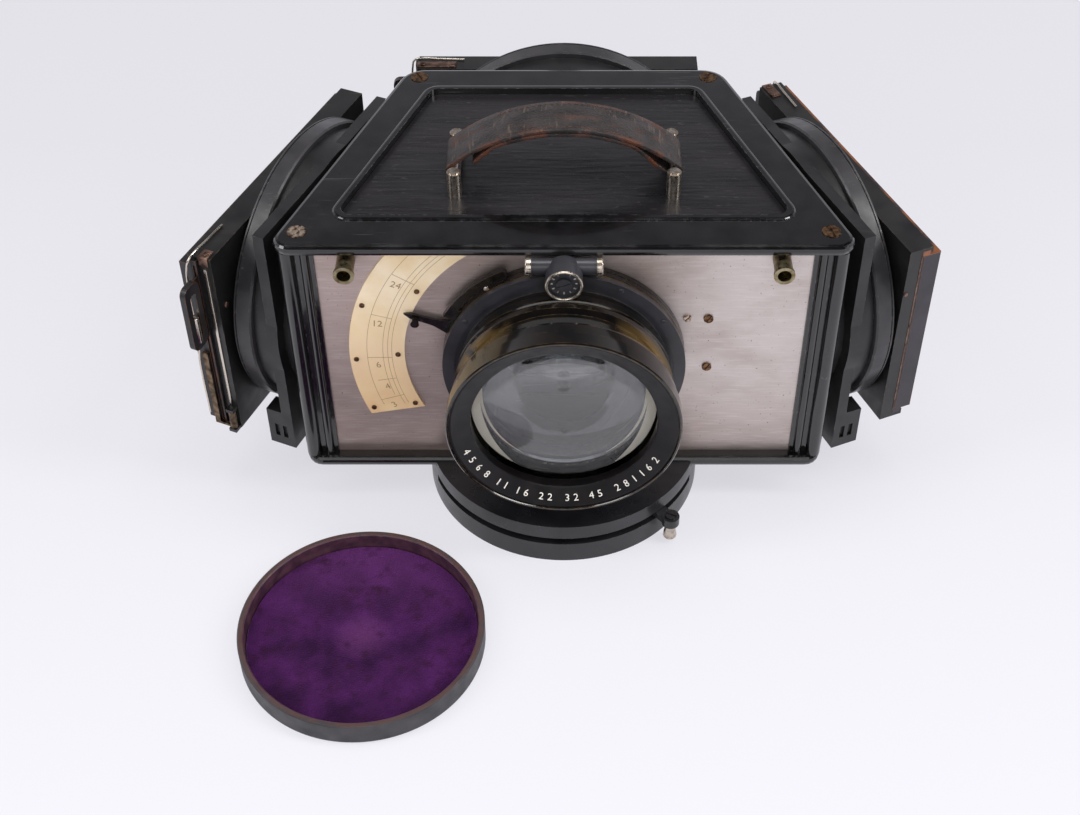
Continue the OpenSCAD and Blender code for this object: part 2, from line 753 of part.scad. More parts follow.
// Distances along a mirror from the apex to its two edges
mirror_ends = [3.8, mirror_l - 4.6];

module on_mirror(side) {
    translate([0, mirror_apex_y, 0]) rotate([0, 0, side * mirror_turn]) children();
}

module mirror_frame() {
    bar_w = 5;
    bar_h = 8;
    color("#26262a") difference() {
        union() {
            translate([0, mirror_apex_y, base_top_z]) cylinder(h = wall_h - 0.3, r = apex_post_r);
            for (side = [-1, 1]) on_mirror(side) {
                for (z = [base_top_z + 0.2, mirror_z1 + 0.4]) translate([-bar_w / 2, 0, z])
                    cube([bar_w, mirror_l + 1, bar_h]);
                translate([0, mirror_l - mirror_post_r, base_top_z])
                    cylinder(h = wall_h - 0.3, r = mirror_post_r);
            }
        }
        for (side = [-1, 1]) on_mirror(side)
            translate([-mirror_t / 2 - fit_gap, mirror_ends[0] - fit_gap, mirror_z0 - 2])
                cube([mirror_t + 2 * fit_gap, mirror_ends[1] - mirror_ends[0] + 2 * fit_gap,
                      mirror_z1 - mirror_z0 + 4]);
    }
}

module semi_mirrors() {
    color("#b9c6cf") for (side = [-1, 1]) on_mirror(side)
        translate([-mirror_t / 2, mirror_ends[0], mirror_z0 - 1.8])
            cube([mirror_t, mirror_ends[1] - mirror_ends[0], mirror_z1 - mirror_z0 + 3.6]);
}

// Plate backs. Local +Y points out of the case.
// The origin is on the ring axis, at the edge of the cover.

BACKS = ["left", "right", "rear"];

module on_back(back) {
    side_y = case_front_y + side_mount_reach;
    side_x = half_width(side_y, 0);
    rear_y = case_rear_y - standard_gap + rear_standard_gap;
    place = back == "left" ? [-side_x, side_y] : back == "right" ? [side_x, side_y] : [0, rear_y];
    turn = back == "left" ? 90 - back_angle : back == "right" ? back_angle - 90 : 0;
    translate([place.x, place.y, lens_z]) rotate([0, 0, turn]) children();
}

// A cylinder along the ring axis, from y0 outwards
module ring_axis(y0, h, r) {
    translate([0, y0, 0]) rotate([-90, 0, 0]) cylinder(h = h, r = r);
}

module window_bore(reach) {
    ring_axis(-reach, 2 * reach, window_r);
}

standard_face = standard_gap + standard_t;
ring_face = standard_face + ring_gap;
collar_r = tube_r + run_clearance + collar_wall;
flange_y = ring_face + ring_w + 1.3;
flange_t = 0.6;
back_y = flange_y + flange_t;
back_face = back_y + back_t;
rail_t = 1.4;
// Width of the round flange that fixes a standard to the case, and its reach before it is faced
flange_w = 4.6;
flange_reach = 3;
// Top of the drive housing along the foot of a standard, from the ring axis
housing_top = -39.5;
holder_h = glass_plate_h + 2 * holder_margin;
// Height of a back plate over its rails, and its reach from the ring axis to each end
back_h = holder_h + 2 * (rail_t + fit_gap);
back_pull_end = glass_plate_l / 2 + pull_margin;
back_closed_end = glass_plate_l / 2 + closed_margin;

module standard(back) {
    front = back == "right" ? standard_rear : standard_front;
    rear = back == "right" ? standard_front : standard_rear;
    // The rear standard fits between the top cover and the base plate
    low = back == "rear" ? base_top_z + rear_standard_gap - lens_z : -standard_h / 2;
    high = back == "rear" ? cover_z - rear_standard_gap - lens_z : standard_h / 2;
    // Drive housing, a box at the front end of the foot
    box_end = 8.4;
    box_out = standard_t + 7.6;
    front_end = back == "right" ? standard_front - box_end : -standard_front;
    color("#2b2a2a") difference() {
        on_back(back) difference() {
            union() {
                translate([-front, standard_gap, low]) cube([front + rear, standard_t, high - low]);
                ring_axis(-plate_overhang - flange_reach,
                          plate_overhang + flange_reach + standard_gap + fuse, window_r + flange_w);
                ring_axis(standard_gap, ring_face - 0.2 - standard_gap, collar_r + 2.4);
                ring_axis(standard_gap, ring_face + ring_w - standard_gap, collar_r);
                translate([front_end, standard_gap, low]) cube([box_end, box_out, housing_top - low]);
            }
            window_bore(60);
            ring_axis(standard_gap, 60, tube_r + run_clearance);
            // Two small oblong slots in the front of the drive housing
            for (share = [0.34, 0.66]) translate([front_end + (back == "right" ? box_end - 1.2 : -1),
                standard_gap + box_out * share - 1.1, low + 5]) cube([2.2, 2.2, 7]);
        }
        // The flange is faced to the wall of the case
        case_prism(base_top_z, wall_h, front_setback + front_plate_t, plate_overhang, plate_overhang, 2);
    }
}

module focus_ring(back) {
    edge = 0.7;
    bore = collar_r + run_clearance;
    color("#262527") on_back(back) translate([0, ring_face, 0]) rotate([-90, 0, 0]) rotate_extrude()
        polygon([[bore, 0], [ring_r - edge, 0], [ring_r, edge], [ring_r, ring_w - 1.6],
                 [ring_r - 0.5, ring_w - 1.5], [ring_r - 0.5, ring_w - 1.1], [ring_r, ring_w - 1],
                 [ring_r, ring_w - 0.4], [ring_r - 0.4, ring_w], [bore, ring_w]]);
}

module back_plate(back) {
    lip_y = holder_y + holder_edge_t + 0.15;
    lug_y = back_y + 2;
    color("#1e1e20") on_back(back) difference() {
        union() {
            ring_axis(standard_gap + 1.2, flange_y - standard_gap - 1.2 + fuse, tube_r);
            ring_axis(flange_y, flange_t, collar_r);
            translate([-back_pull_end, back_y - fuse, -back_h / 2])
                cube([back_pull_end + back_closed_end, back_t + fuse, back_h]);
            // Ridge that the holder is slid against
            translate([back_closed_end - ridge_w, back_y, -ridge_l / 2])
                cube([ridge_w, back_t + ridge_h, ridge_l]);
            for (s = [-1, 1]) {
                rail_z = s > 0 ? back_h / 2 - rail_t : -back_h / 2;
                lip_z = s > 0 ? back_h / 2 - rail_t - 1.5 : -back_h / 2;
                translate([-back_pull_end, back_y, rail_z])
                    cube([back_pull_end + back_closed_end, lip_y + 0.8 - back_y, rail_t]);
                translate([-back_pull_end, lip_y, lip_z])
                    cube([back_pull_end + back_closed_end, 0.8, rail_t + 1.5]);
            }
            for (z = latch_lugs) translate([-latch_x - 1.7, lug_y - 1.8, z])
                cube([latch_x + 1.7 - back_pull_end + fuse, 3.6, lug_t]);
            translate([-latch_x, lug_y, latch_lugs[0] + fuse])
                cylinder(h = latch_lugs[1] - latch_lugs[0], r = latch_pin_r);
        }
        ring_axis(0, flange_y + flange_t + fuse, tube_r - tube_wall);
        translate([-filter_l / 2 - fit_gap, back_y + filter_seat, -filter_h / 2 - fit_gap])
            cube([filter_l + 2 * fit_gap, back_t + 3, filter_h + 2 * fit_gap]);
        // Opening of the picture, inside the ledge that the filter lies on
        intersection() {
            ring_axis(0, back_face, tube_r - tube_wall);
            translate([-filter_l / 2 + filter_ledge, 0, -filter_h / 2 + filter_ledge])
                cube([filter_l - 2 * filter_ledge, back_face, filter_h - 2 * filter_ledge]);
        }
    }
}

ridge_w = 1.2;
ridge_h = 1.1;
ridge_l = holder_h - 6;
// The colour filter is a little smaller than the glass plate
filter_l = glass_plate_l - 15;
filter_h = glass_plate_h - 3;
filter_t = 1.6;
filter_seat = 1;
filter_ledge = 2;

module color_filter(back) {
    tint = back == "left" ? "#2a4fb0" : back == "right" ? "#2f8f45" : "#b02a2a";
    color(tint) on_back(back) translate([-filter_l / 2, back_y + filter_seat + fit_gap, -filter_h / 2])
        cube([filter_l, filter_t, filter_h]);
}

holder_y = back_face + 0.15;
holder_edge_t = 3.8;
slide_y = back_face + 0.95;
slide_t = 0.8;
slide_gap = 0.1;
glass_plate_t = 1.6;
holder_pull_end = back_pull_end + 1.6;
chamber_end = back_closed_end - 1.4;

module plate_holder(back) {
    deep = back == "right";
    depth = deep ? holder_deep_depth : holder_slim_depth;
    cover_in = 2.2;
    color("#1b1b1c") on_back(back) difference() {
        union() {
            translate([-holder_pull_end, holder_y, -holder_h / 2])
                cube([holder_pull_end + back_closed_end, holder_edge_t, holder_h]);
            translate([-holder_pull_end, holder_y + holder_edge_t - fuse, -holder_h / 2 + cover_in])
                cube([holder_pull_end + back_closed_end, depth - holder_edge_t + fuse,
                      holder_h - 2 * cover_in]);
        }
        // Exposure opening, slot of the dark slide and chamber of the glass plate
        translate([-back_pull_end + 12, holder_y - 1, -glass_plate_h / 2 + 2.5])
            cube([back_pull_end + chamber_end - 15, 3, glass_plate_h - 5]);
        translate([-holder_pull_end - 1, slide_y - slide_gap, -glass_plate_h / 2 + 0.8])
            cube([holder_pull_end + chamber_end + 1 - 2, slide_t + 2 * slide_gap, glass_plate_h - 1.6]);
        translate([chamber_end - glass_plate_l - 0.4, slide_y, -glass_plate_h / 2 - 0.2])
            cube([glass_plate_l + 0.4, slide_t + slide_gap + glass_plate_t, glass_plate_h + 0.4]);
        // Notch for the ridge of the back
        translate([back_closed_end - ridge_w - fit_gap, holder_y - 1, -ridge_l / 2 - fit_gap])
            cube([ridge_w + 1, back_face + ridge_h + fit_gap - holder_y + 1, ridge_l + 2 * fit_gap]);
    }
}

pull_z = [5, 38];

module dark_slide(back) {
    grip_out = 10;
    grip_x = -holder_pull_end - 1;
    grip_t = 2.6;
    color("#242424") on_back(back) {
        translate([-holder_pull_end + 0.6, slide_y, -glass_plate_h / 2 + 1.2])
            cube([holder_pull_end + chamber_end - 3.2, slide_t, glass_plate_h - 2.4]);
        translate([grip_x - 2, slide_y, pull_z[0]]) cube([5, slide_t, pull_z[1] - pull_z[0]]);
        // Folded grip with a finger slot
        translate([0, slide_y + (slide_t - grip_t) / 2, 0]) rotate([-90, 0, 0])
            linear_extrude(grip_t) difference() {
                polygon(rounded(rectangle(grip_x - grip_out, grip_x, -pull_z[1], -pull_z[0]), 3.4));
                polygon(rounded(rectangle(grip_x - grip_out + 3.2, grip_x - 3, -pull_z[1] + 5,
                                          -pull_z[0] - 5), 1.6));
            }
    }
}

latch_x = back_pull_end + 2.2;
latch_pin_r = 0.8;
lug_t = 1.7;
latch_lugs = [-back_h / 2, -back_h / 2 + 11.5];
latch_top = -4;
latch_t = 1.1;

// Swinging catch: its tall strip bears on the end of the holder, outside the way of the dark slide
module holder_latch(back) {
    knuckle_r = 1.6;
    plate_x = -holder_pull_end - 0.3 - latch_t;
    low = latch_lugs[0] + lug_t + 0.3;
    high = latch_lugs[1] - 0.3;
    foot_top = -glass_plate_h / 2 + 0.2;
    lug_y = back_y + 2;
    strip_y = slide_y + slide_t + 0.6;
    strip_w = 2.6;
    color("#b39a5e") on_back(back) difference() {
        union() {
            translate([-latch_x, lug_y, low]) cylinder(h = high - low, r = knuckle_r);
            translate([plate_x, lug_y - 0.6, low]) cube([-latch_x - plate_x, 1.2, high - low]);
            translate([plate_x, lug_y - 0.6, low])
                cube([latch_t, strip_y + strip_w - lug_y + 0.6, foot_top - low]);
            translate([plate_x, strip_y, low]) cube([latch_t, strip_w, latch_top - low]);
        }
        translate([-latch_x, lug_y, low - 1]) cylinder(h = high - low + 2, r = latch_pin_r + run_clearance);
    }
}

// Loose lens cap, open side up

module lens_cap() {
    color("#1d1c1d") translate([cap_x, -cap_front, 0]) rotate_extrude() polygon([
        [0, 0], [cap_r - 1, 0], [cap_r, 1], [cap_r, cap_h - 0.6], [cap_r - 0.6, cap_h],
        [rim_r + 1.1, cap_h], [rim_r + 0.6, cap_h - 0.5], [rim_r + 0.6, cap_floor_t], [0, cap_floor_t]]);
}

module cap_lining() {
    color("#43106b") translate([cap_x, -cap_front, cap_floor_t]) cylinder(h = velvet_t, r = rim_r + 0.5);
}

body_shell();
top_cover();
top_panel();
base_plate();
front_plate();
corner_posts();
case_screws();
scale_plate();
scale_pins();
accessory_sockets();
shutter_case();
shutter_face();
air_cylinder();
speed_dial();
cocking_lever();
diaphragm_ring();
iris_leaf(0);  // iris_leaf_1
iris_leaf(1);  // iris_leaf_2
iris_leaf(2);  // iris_leaf_3
iris_leaf(3);  // iris_leaf_4
iris_leaf(4);  // iris_leaf_5
iris_leaf(5);  // iris_leaf_6
barrel_front();
barrel_rear();
retaining_ring();
lens_front();
lens_middle();
lens_rear();
focus_drum();
tripod_bush();
focus_lever();
lever_knob();
handle_brackets();
handle_strap();
mirror_frame();
semi_mirrors();
standard("left");  // standard_left
standard("right");  // standard_right
standard("rear");  // standard_rear
focus_ring("left");  // focus_ring_left
focus_ring("right");  // focus_ring_right
focus_ring("rear");  // focus_ring_rear
back_plate("left");  // back_plate_left
back_plate("right");  // back_plate_right
back_plate("rear");  // back_plate_rear
color_filter("left");  // color_filter_left
color_filter("right");  // color_filter_right
color_filter("rear");  // color_filter_rear
plate_holder("left");  // plate_holder_left
plate_holder("right");  // plate_holder_right
plate_holder("rear");  // plate_holder_rear
dark_slide("left");  // dark_slide_left
dark_slide("right");  // dark_slide_right
dark_slide("rear");  // dark_slide_rear
holder_latch("left");  // holder_latch_left
holder_latch("right");  // holder_latch_right
holder_latch("rear");  // holder_latch_rear
lens_cap();
cap_lining();
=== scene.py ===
"""Finishes and fine parts of a three-colour plate camera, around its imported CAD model."""
import math
import random

import bpy
from mathutils import Matrix, Vector


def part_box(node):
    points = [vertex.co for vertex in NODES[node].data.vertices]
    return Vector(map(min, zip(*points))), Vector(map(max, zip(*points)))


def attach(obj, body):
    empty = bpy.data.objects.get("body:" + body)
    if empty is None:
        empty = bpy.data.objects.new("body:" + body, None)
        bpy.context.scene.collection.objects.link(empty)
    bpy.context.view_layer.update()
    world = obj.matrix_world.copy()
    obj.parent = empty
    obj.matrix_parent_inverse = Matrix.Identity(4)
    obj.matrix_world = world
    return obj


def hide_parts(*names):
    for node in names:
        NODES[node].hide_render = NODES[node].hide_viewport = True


bl_info = {
    "name": "Three-colour camera",
    "version": (1, 0, 0),
    "blender": (4, 5, 0),
    "location": "View3D > Sidebar > Camera",
    "description": "Finishes and fine parts of a three-colour plate camera",
    "category": "Object",
}

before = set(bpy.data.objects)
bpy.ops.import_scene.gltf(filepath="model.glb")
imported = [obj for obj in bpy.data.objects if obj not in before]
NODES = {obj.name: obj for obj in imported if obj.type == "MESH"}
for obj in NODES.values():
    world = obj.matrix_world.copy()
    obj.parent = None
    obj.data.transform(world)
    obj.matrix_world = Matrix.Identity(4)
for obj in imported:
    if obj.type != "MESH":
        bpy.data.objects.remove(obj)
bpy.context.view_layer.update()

MM = 0.001
SIDES = ("left", "right", "rear")

# Places that the solids give, in millimetres
LENS_Z = 80.5
PLATE_FACE_Y = -16.2
CASE_FRONT_Y = -21.9
CASE_DEPTH = 126.4
CASE_FRONT_W = 235.8
CASE_REAR_W = 138.7
SIDE_ANGLE = math.atan((CASE_FRONT_W - CASE_REAR_W) / 2 / CASE_DEPTH)
# The side backs toe in against the sides of the case
BACK_ANGLE = SIDE_ANGLE + math.radians(2.2)
SIDE_MOUNT = 62.4  # from the front edge of the case to the middle of a side back
SIDE_MOUNT_X = CASE_FRONT_W / 2 - SIDE_MOUNT * math.tan(SIDE_ANGLE)
SIDE_MOUNT_Y = CASE_FRONT_Y + SIDE_MOUNT
REAR_MOUNT_Y = CASE_FRONT_Y + CASE_DEPTH - 1.8
STRAP_Y = 29.25
ROD_X, ROD_Z = 44.5, 149.2
CAP_CENTRE = (-83.2, -103.5)
CAP_INSIDE_R, CAP_TOP_Z = 48.6, 10.9
# The sheet edge of the right back's adapter starts at this height
ADAPTER_TOP_Z = 123.5
# The cone that fingers grip, between the neck and the ring round the glass
GRIP_Y = (-37.2, -49.2)
# Centres of two worn screw heads, and how far the wear reaches from each
BRIGHT_HEADS = (((-105.6, -11.7, 143.5), 4.5), ((50.6, -16.7, 101.3), 2.6))


def linear(hex_colour):
    """An sRGB hex colour as linear red, green, blue and an alpha of 1."""
    parts = [int(hex_colour[i:i + 2], 16) / 255 for i in (1, 3, 5)]
    return (*[c / 12.92 if c <= 0.04045 else ((c + 0.055) / 1.055) ** 2.4 for c in parts], 1.0)


# Materials

def add_node(tree, kind, inputs=None, **options):
    """Adds one node with its options. Each input gets a fixed value or the socket that feeds it."""
    node = tree.nodes.new(kind)
    for name, value in options.items():
        setattr(node, name, value)
    for key, value in (inputs or {}).items():
        if isinstance(value, bpy.types.NodeSocket):
            tree.links.new(value, node.inputs[key])
        else:
            node.inputs[key].default_value = value
    return node


def new_material(name):
    """An empty material and its node tree."""
    material = bpy.data.materials.new(name)
    material.use_nodes = True
    material.node_tree.nodes.clear()
    return material, material.node_tree


def position(tree):
    """The place on the piece, in metres, as X, Y and Z."""
    place = add_node(tree, "ShaderNodeTexCoord")
    return add_node(tree, "ShaderNodeSeparateXYZ", {0: place.outputs["Object"]}).outputs


def mottle(tree, size_mm, low=0.35, high=0.65, stretch=(1, 1, 1), turn=(0, 0, 0), detail=4.0, seed=0.0,
           span=(0, 1)):
    """Soft patches about size_mm across, with values over the span, longer where stretch is below 1."""
    place = add_node(tree, "ShaderNodeTexCoord")
    mapped = add_node(tree, "ShaderNodeMapping",
                      {"Vector": place.outputs["Object"], "Scale": stretch, "Rotation": turn,
                       "Location": (seed, seed * 0.7, seed * 0.3)})
    noise = add_node(tree, "ShaderNodeTexNoise",
                     {"Vector": mapped.outputs[0], "Scale": 1 / (size_mm * MM), "Detail": detail})
    spread = add_node(tree, "ShaderNodeMapRange", {"Value": noise.outputs["Fac"], "From Min": low,
                                                   "From Max": high, "To Min": span[0], "To Max": span[1]})
    return spread.outputs[0]


def stain(tree, under, over, *pattern, **more):
    """The colour under, with the colour over laid on it in the patches that mottle draws."""
    laid = add_node(tree, "ShaderNodeMix", {0: mottle(tree, *pattern, **more), 6: under, 7: over},
                    data_type="RGBA")
    return laid.outputs[2]


def rubbed_edges(tree, width_mm, grain_mm, low, high):
    """A mask that is 1 on edges where hands and slides have rubbed the coat off."""
    surface = add_node(tree, "ShaderNodeNewGeometry")
    round_over = add_node(tree, "ShaderNodeBevel", {"Radius": width_mm * MM}, samples=6)
    turn = add_node(tree, "ShaderNodeVectorMath", {0: round_over.outputs[0], 1: surface.outputs["Normal"]},
                    operation="DOT_PRODUCT")
    grain = mottle(tree, grain_mm, low, high, detail=6.0, seed=3.1)
    edge = add_node(tree, "ShaderNodeMapRange", {"Value": turn.outputs["Value"], "From Min": 0.99,
                                                 "From Max": 0.86, "To Max": grain})
    return edge.outputs[0]


def worn_through(tree, wear, colour, bare, rough, bare_gloss):
    """Colour and roughness of a coat, changed to those of the bare metal where wear is 1."""
    colour = add_node(tree, "ShaderNodeMix", {0: wear, 6: colour, 7: linear(bare)}, data_type="RGBA")
    rough = add_node(tree, "ShaderNodeMapRange", {"Value": wear, "To Min": rough, "To Max": bare_gloss})
    return colour.outputs[2], rough.outputs[0]


def seen_rays(tree):
    """1 on what is seen straight, in a mirror or through glass, and 0 where light is gathered."""
    path = add_node(tree, "ShaderNodeLightPath").outputs
    seen = add_node(tree, "ShaderNodeMath", {0: path["Is Camera Ray"], 1: path["Is Glossy Ray"]},
                    operation="MAXIMUM")
    seen = add_node(tree, "ShaderNodeMath", {0: seen.outputs[0], 1: path["Is Transmission Ray"]},
                    operation="MAXIMUM")
    return seen.outputs[0]


def close_material(tree, colour, roughness, relief=None, sockets=None):
    """Joins the patterns to one shader. Relief is a pattern, its depth in mm and its strength."""
    inputs = {"Base Color": colour, "Roughness": roughness, **(sockets or {})}
    if relief:
        height, depth_mm, strength = relief
        bump = add_node(tree, "ShaderNodeBump", {"Height": height, "Distance": depth_mm * MM,
                                                 "Strength": strength})
        inputs["Normal"] = bump.outputs[0]
    shader = add_node(tree, "ShaderNodeBsdfPrincipled", inputs)
    add_node(tree, "ShaderNodeOutputMaterial", {"Surface": shader.outputs[0]})


def coated_metal(name, paint, shade, bare, gloss, edge_mm, rub, patch_mm=14.0, bare_gloss=0.35,
                 scratch=0.0, coat=0.0, grain_mm=0.6, relief=0.12, shine=0.5, top_edge=None):
    """Paint on metal: patchy colour and gloss, fine scratches, and bare metal on rubbed edges.

    Above the height of a top edge, in mm, half of the paint has gone and its colour shows."""
    material, tree = new_material(name)
    colour = stain(tree, linear(paint), linear(shade), patch_mm)
    if top_edge:
        height, under_paint = top_edge
        gone = add_node(tree, "ShaderNodeMapRange",
                        {"Value": position(tree)["Z"], "From Min": height * MM,
                         "From Max": (height + 0.6) * MM,
                         "To Max": mottle(tree, 9, 0.38, 0.58, detail=6.0, seed=6.0)})
        mixed = add_node(tree, "ShaderNodeMix", {0: gone.outputs[0], 6: colour, 7: linear(under_paint)},
                         data_type="RGBA")
        colour = mixed.outputs[2]
    wear = rubbed_edges(tree, edge_mm, 2.5, *rub)
    if scratch:
        here = mottle(tree, 25, 0.5, 0.62, seed=5.0, span=(0, scratch))
        lines = mottle(tree, 0.5, 0.66, 0.70, (0.02, 1, 0.6), (0.3, 0.5, 0.8), 3.0, 1.7, (0, here))
        wear = add_node(tree, "ShaderNodeMath", {0: wear, 1: lines}, operation="MAXIMUM").outputs[0]
    rough = mottle(tree, patch_mm * 0.6, seed=2.0, span=gloss)
    colour, rough = worn_through(tree, wear, colour, bare, rough, bare_gloss)
    close_material(tree, colour, rough, (mottle(tree, grain_mm, 0.3, 0.7, seed=7.0), 0.03, relief),
                   {"Metallic": wear, "Coat Weight": coat, "Coat Roughness": 0.06,
                    "Specular IOR Level": shine})
    return material


def bare_metal(name, clean, stained, gloss, patch_mm=9.0, low=0.4, high=0.7, relief=0.15):
    """Metal with no coat: stains in colour and gloss, and a fine grain."""
    material, tree = new_material(name)
    colour = stain(tree, linear(clean), linear(stained), patch_mm, low, high, detail=6.0)
    rough = mottle(tree, patch_mm * 0.5, seed=4.0, span=gloss)
    grain = mottle(tree, 0.4, 0.3, 0.7, seed=6.0)
    close_material(tree, colour, rough, (grain, 0.02, relief), {"Metallic": 1.0})
    return material


def glass(name, tint):
    """Clear or dyed optical glass, polished."""
    material, tree = new_material(name)
    close_material(tree, linear(tint), 0.0, None, {"IOR": 1.52, "Transmission Weight": 1.0})
    return material


def rubbed_in_and_glint(name, colour, roughness=0.6, thin=0.8):
    """Paint or wax in an engraved line, or the painted highlight on a ground glass edge, darker by the factor
    thin where it is thin.
    """
    material, tree = new_material(name)
    patches = stain(tree, (*colour, 1), (*[part * thin for part in colour], 1), 0.8, 0.5, 0.75)
    close_material(tree, patches, mottle(tree, 2, span=(roughness, roughness + 0.2)))
    return material


def give(material, *nodes):
    """Puts the material on every slot of the named CAD nodes."""
    for node in nodes:
        data = NODES[node].data
        data.materials.clear()
        data.materials.append(material)


# Modelling helpers

def deselect():
    """Leaves edit mode and selects nothing."""
    if bpy.context.object and bpy.context.object.mode != "OBJECT":
        bpy.ops.object.mode_set(mode="OBJECT")
    bpy.ops.object.select_all(action="DESELECT")


def pick(obj, test, faces=True):
    """In edit mode, selects the faces, or points, whose centre passes the test."""
    bpy.ops.mesh.select_all(action="DESELECT")
    bpy.ops.object.mode_set(mode="OBJECT")
    for part in (obj.data.polygons if faces else obj.data.vertices):
        part.select = bool(test(part.center if faces else part.co, part.normal))
    bpy.ops.object.mode_set(mode="EDIT")
    bpy.ops.mesh.select_mode(type="FACE" if faces else "VERT")


def settle(obj, matrix, name, material, body, smooth=35):
    """Puts a piece in place, with its place in its mesh, and lets it ride on a body."""
    deselect()
    for modifier in list(obj.modifiers):
        bpy.context.view_layer.objects.active = obj
        bpy.ops.object.modifier_apply(modifier=modifier.name)
    obj.data.transform(matrix @ obj.matrix_world)
    obj.matrix_world = Matrix.Identity(4)
    obj.select_set(True)
    bpy.context.view_layer.objects.active = obj
    bpy.ops.object.mode_set(mode="EDIT")
    bpy.ops.mesh.select_all(action="SELECT")
    bpy.ops.mesh.remove_doubles(threshold=0.000001)
    bpy.ops.mesh.normals_make_consistent(inside=False)
    bpy.ops.object.mode_set(mode="OBJECT")
    bpy.ops.object.shade_smooth_by_angle(angle=math.radians(smooth))
    obj.name = name
    obj.data.name = name
    obj.data.materials.clear()
    obj.data.materials.append(material)
    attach(obj, body)
    obj.select_set(False)


def join(pieces):
    """Makes one object of several."""
    deselect()
    for piece in pieces:
        piece.select_set(True)
    bpy.context.view_layer.objects.active = pieces[0]
    bpy.ops.object.join()
    joined = bpy.context.object
    joined.select_set(False)
    return joined


def twin(obj):
    """A copy of a piece, with its own mesh."""
    copy = obj.copy()
    copy.data = obj.data.copy()
    bpy.context.scene.collection.objects.link(copy)
    return copy


def repeat(obj, places):
    """Makes one object of copies of a piece, one at each place, in place of the piece."""
    copies = []
    for place in places:
        copy = twin(obj)
        copy.data.transform(place)
        copies.append(copy)
    bpy.data.objects.remove(obj)
    return join(copies)


def on_lens(out=0.0):
    """From flat work, seen from the front, to the face of the front plate, moved out by so many mm."""
    place = Matrix.Translation(Vector((0, PLATE_FACE_Y - out, LENS_Z)) * MM)
    return place @ Matrix.Rotation(math.pi / 2, 4, "X")


def on_back(side):
    """From local millimetre axes on a plate back, y outwards, to the row frame."""
    place = {"left": (-SIDE_MOUNT_X, SIDE_MOUNT_Y), "right": (SIDE_MOUNT_X, SIDE_MOUNT_Y),
             "rear": (0, REAR_MOUNT_Y)}[side]
    turn = {"left": math.pi / 2 - BACK_ANGLE, "right": BACK_ANGLE - math.pi / 2, "rear": 0}[side]
    return Matrix.Translation(Vector((*place, LENS_Z)) * MM) @ Matrix.Rotation(turn, 4, "Z")


def draw_strip(points, width, cuts):
    """A strip of surface that follows points, in mm, drawn by extruding its first edge step by step."""
    deselect()
    bpy.ops.mesh.primitive_plane_add(size=1, location=(0, 0, 0))
    obj = bpy.context.object
    bpy.ops.object.mode_set(mode="EDIT")
    pick(obj, lambda centre, normal: centre.y > 0, faces=False)
    bpy.ops.mesh.delete(type="VERT")
    bpy.ops.object.mode_set(mode="OBJECT")
    start, side = Vector(points[0]) * MM, Vector((0, width, 0)) * MM / 2
    for vertex, sign in zip(obj.data.vertices, (-1, 1)):
        vertex.co = start + side * sign
    bpy.ops.object.mode_set(mode="EDIT")
    bpy.ops.mesh.select_all(action="SELECT")
    bpy.ops.mesh.subdivide(number_cuts=cuts)
    bpy.ops.mesh.select_all(action="SELECT")
    for before, after in zip(points, points[1:]):
        step = (Vector(after) - Vector(before)) * MM
        bpy.ops.mesh.extrude_region_move(TRANSFORM_OT_translate={"value": step})
    bpy.ops.object.mode_set(mode="OBJECT")
    return obj


def draw_wire(points, radius):
    """A round wire that follows points, in mm."""
    data = bpy.data.curves.new("wire", "CURVE")
    data.dimensions = "3D"
    data.bevel_depth = radius * MM
    data.bevel_resolution = 2
    data.use_fill_caps = True
    spline = data.splines.new("BEZIER")
    spline.bezier_points.add(len(points) - 1)
    for knot, place in zip(spline.bezier_points, points):
        knot.co = Vector(place) * MM
        knot.handle_left_type = knot.handle_right_type = "AUTO"
    obj = bpy.data.objects.new("wire", data)
    bpy.context.scene.collection.objects.link(obj)
    deselect()
    obj.select_set(True)
    bpy.context.view_layer.objects.active = obj
    bpy.ops.object.convert(target="MESH")
    return bpy.context.object


def draw_number(words, size, thickness=0.05):
    """A flat engraved number, size mm high, in the middle of the XY plane."""
    deselect()
    bpy.ops.object.text_add(location=(0, 0, 0))
    text = bpy.context.object
    text.data.body = words
    text.data.size = size * 1.35 * MM
    text.data.align_x = "CENTER"
    text.data.align_y = "CENTER"
    text.data.extrude = thickness * MM / 2
    text.data.resolution_u = 2
    bpy.ops.object.convert(target="MESH")
    return bpy.context.object


def draw_arc(radius, width, start, end, thickness=0.05, steps=64):
    """A thin flat arc in the XY plane, angles in degrees."""
    deselect()
    bpy.ops.mesh.primitive_plane_add(size=1, location=(0, 0, 0))
    obj = bpy.context.object
    first = math.radians(start)
    inner, outer = (radius - width / 2) * MM, (radius + width / 2) * MM
    half = thickness * MM / 2
    # The plane stands up as the section at the start of the arc
    section = ((inner, -half), (outer, -half), (inner, half), (outer, half))
    for vertex, (reach, z) in zip(obj.data.vertices, section):
        vertex.co = (reach * math.cos(first), reach * math.sin(first), z)
    bpy.ops.object.mode_set(mode="EDIT")
    bpy.ops.mesh.select_all(action="SELECT")
    bpy.ops.mesh.spin(steps=steps, angle=math.radians(start - end), center=(0, 0, 0), axis=(0, 0, 1))
    bpy.ops.object.mode_set(mode="OBJECT")
    return obj


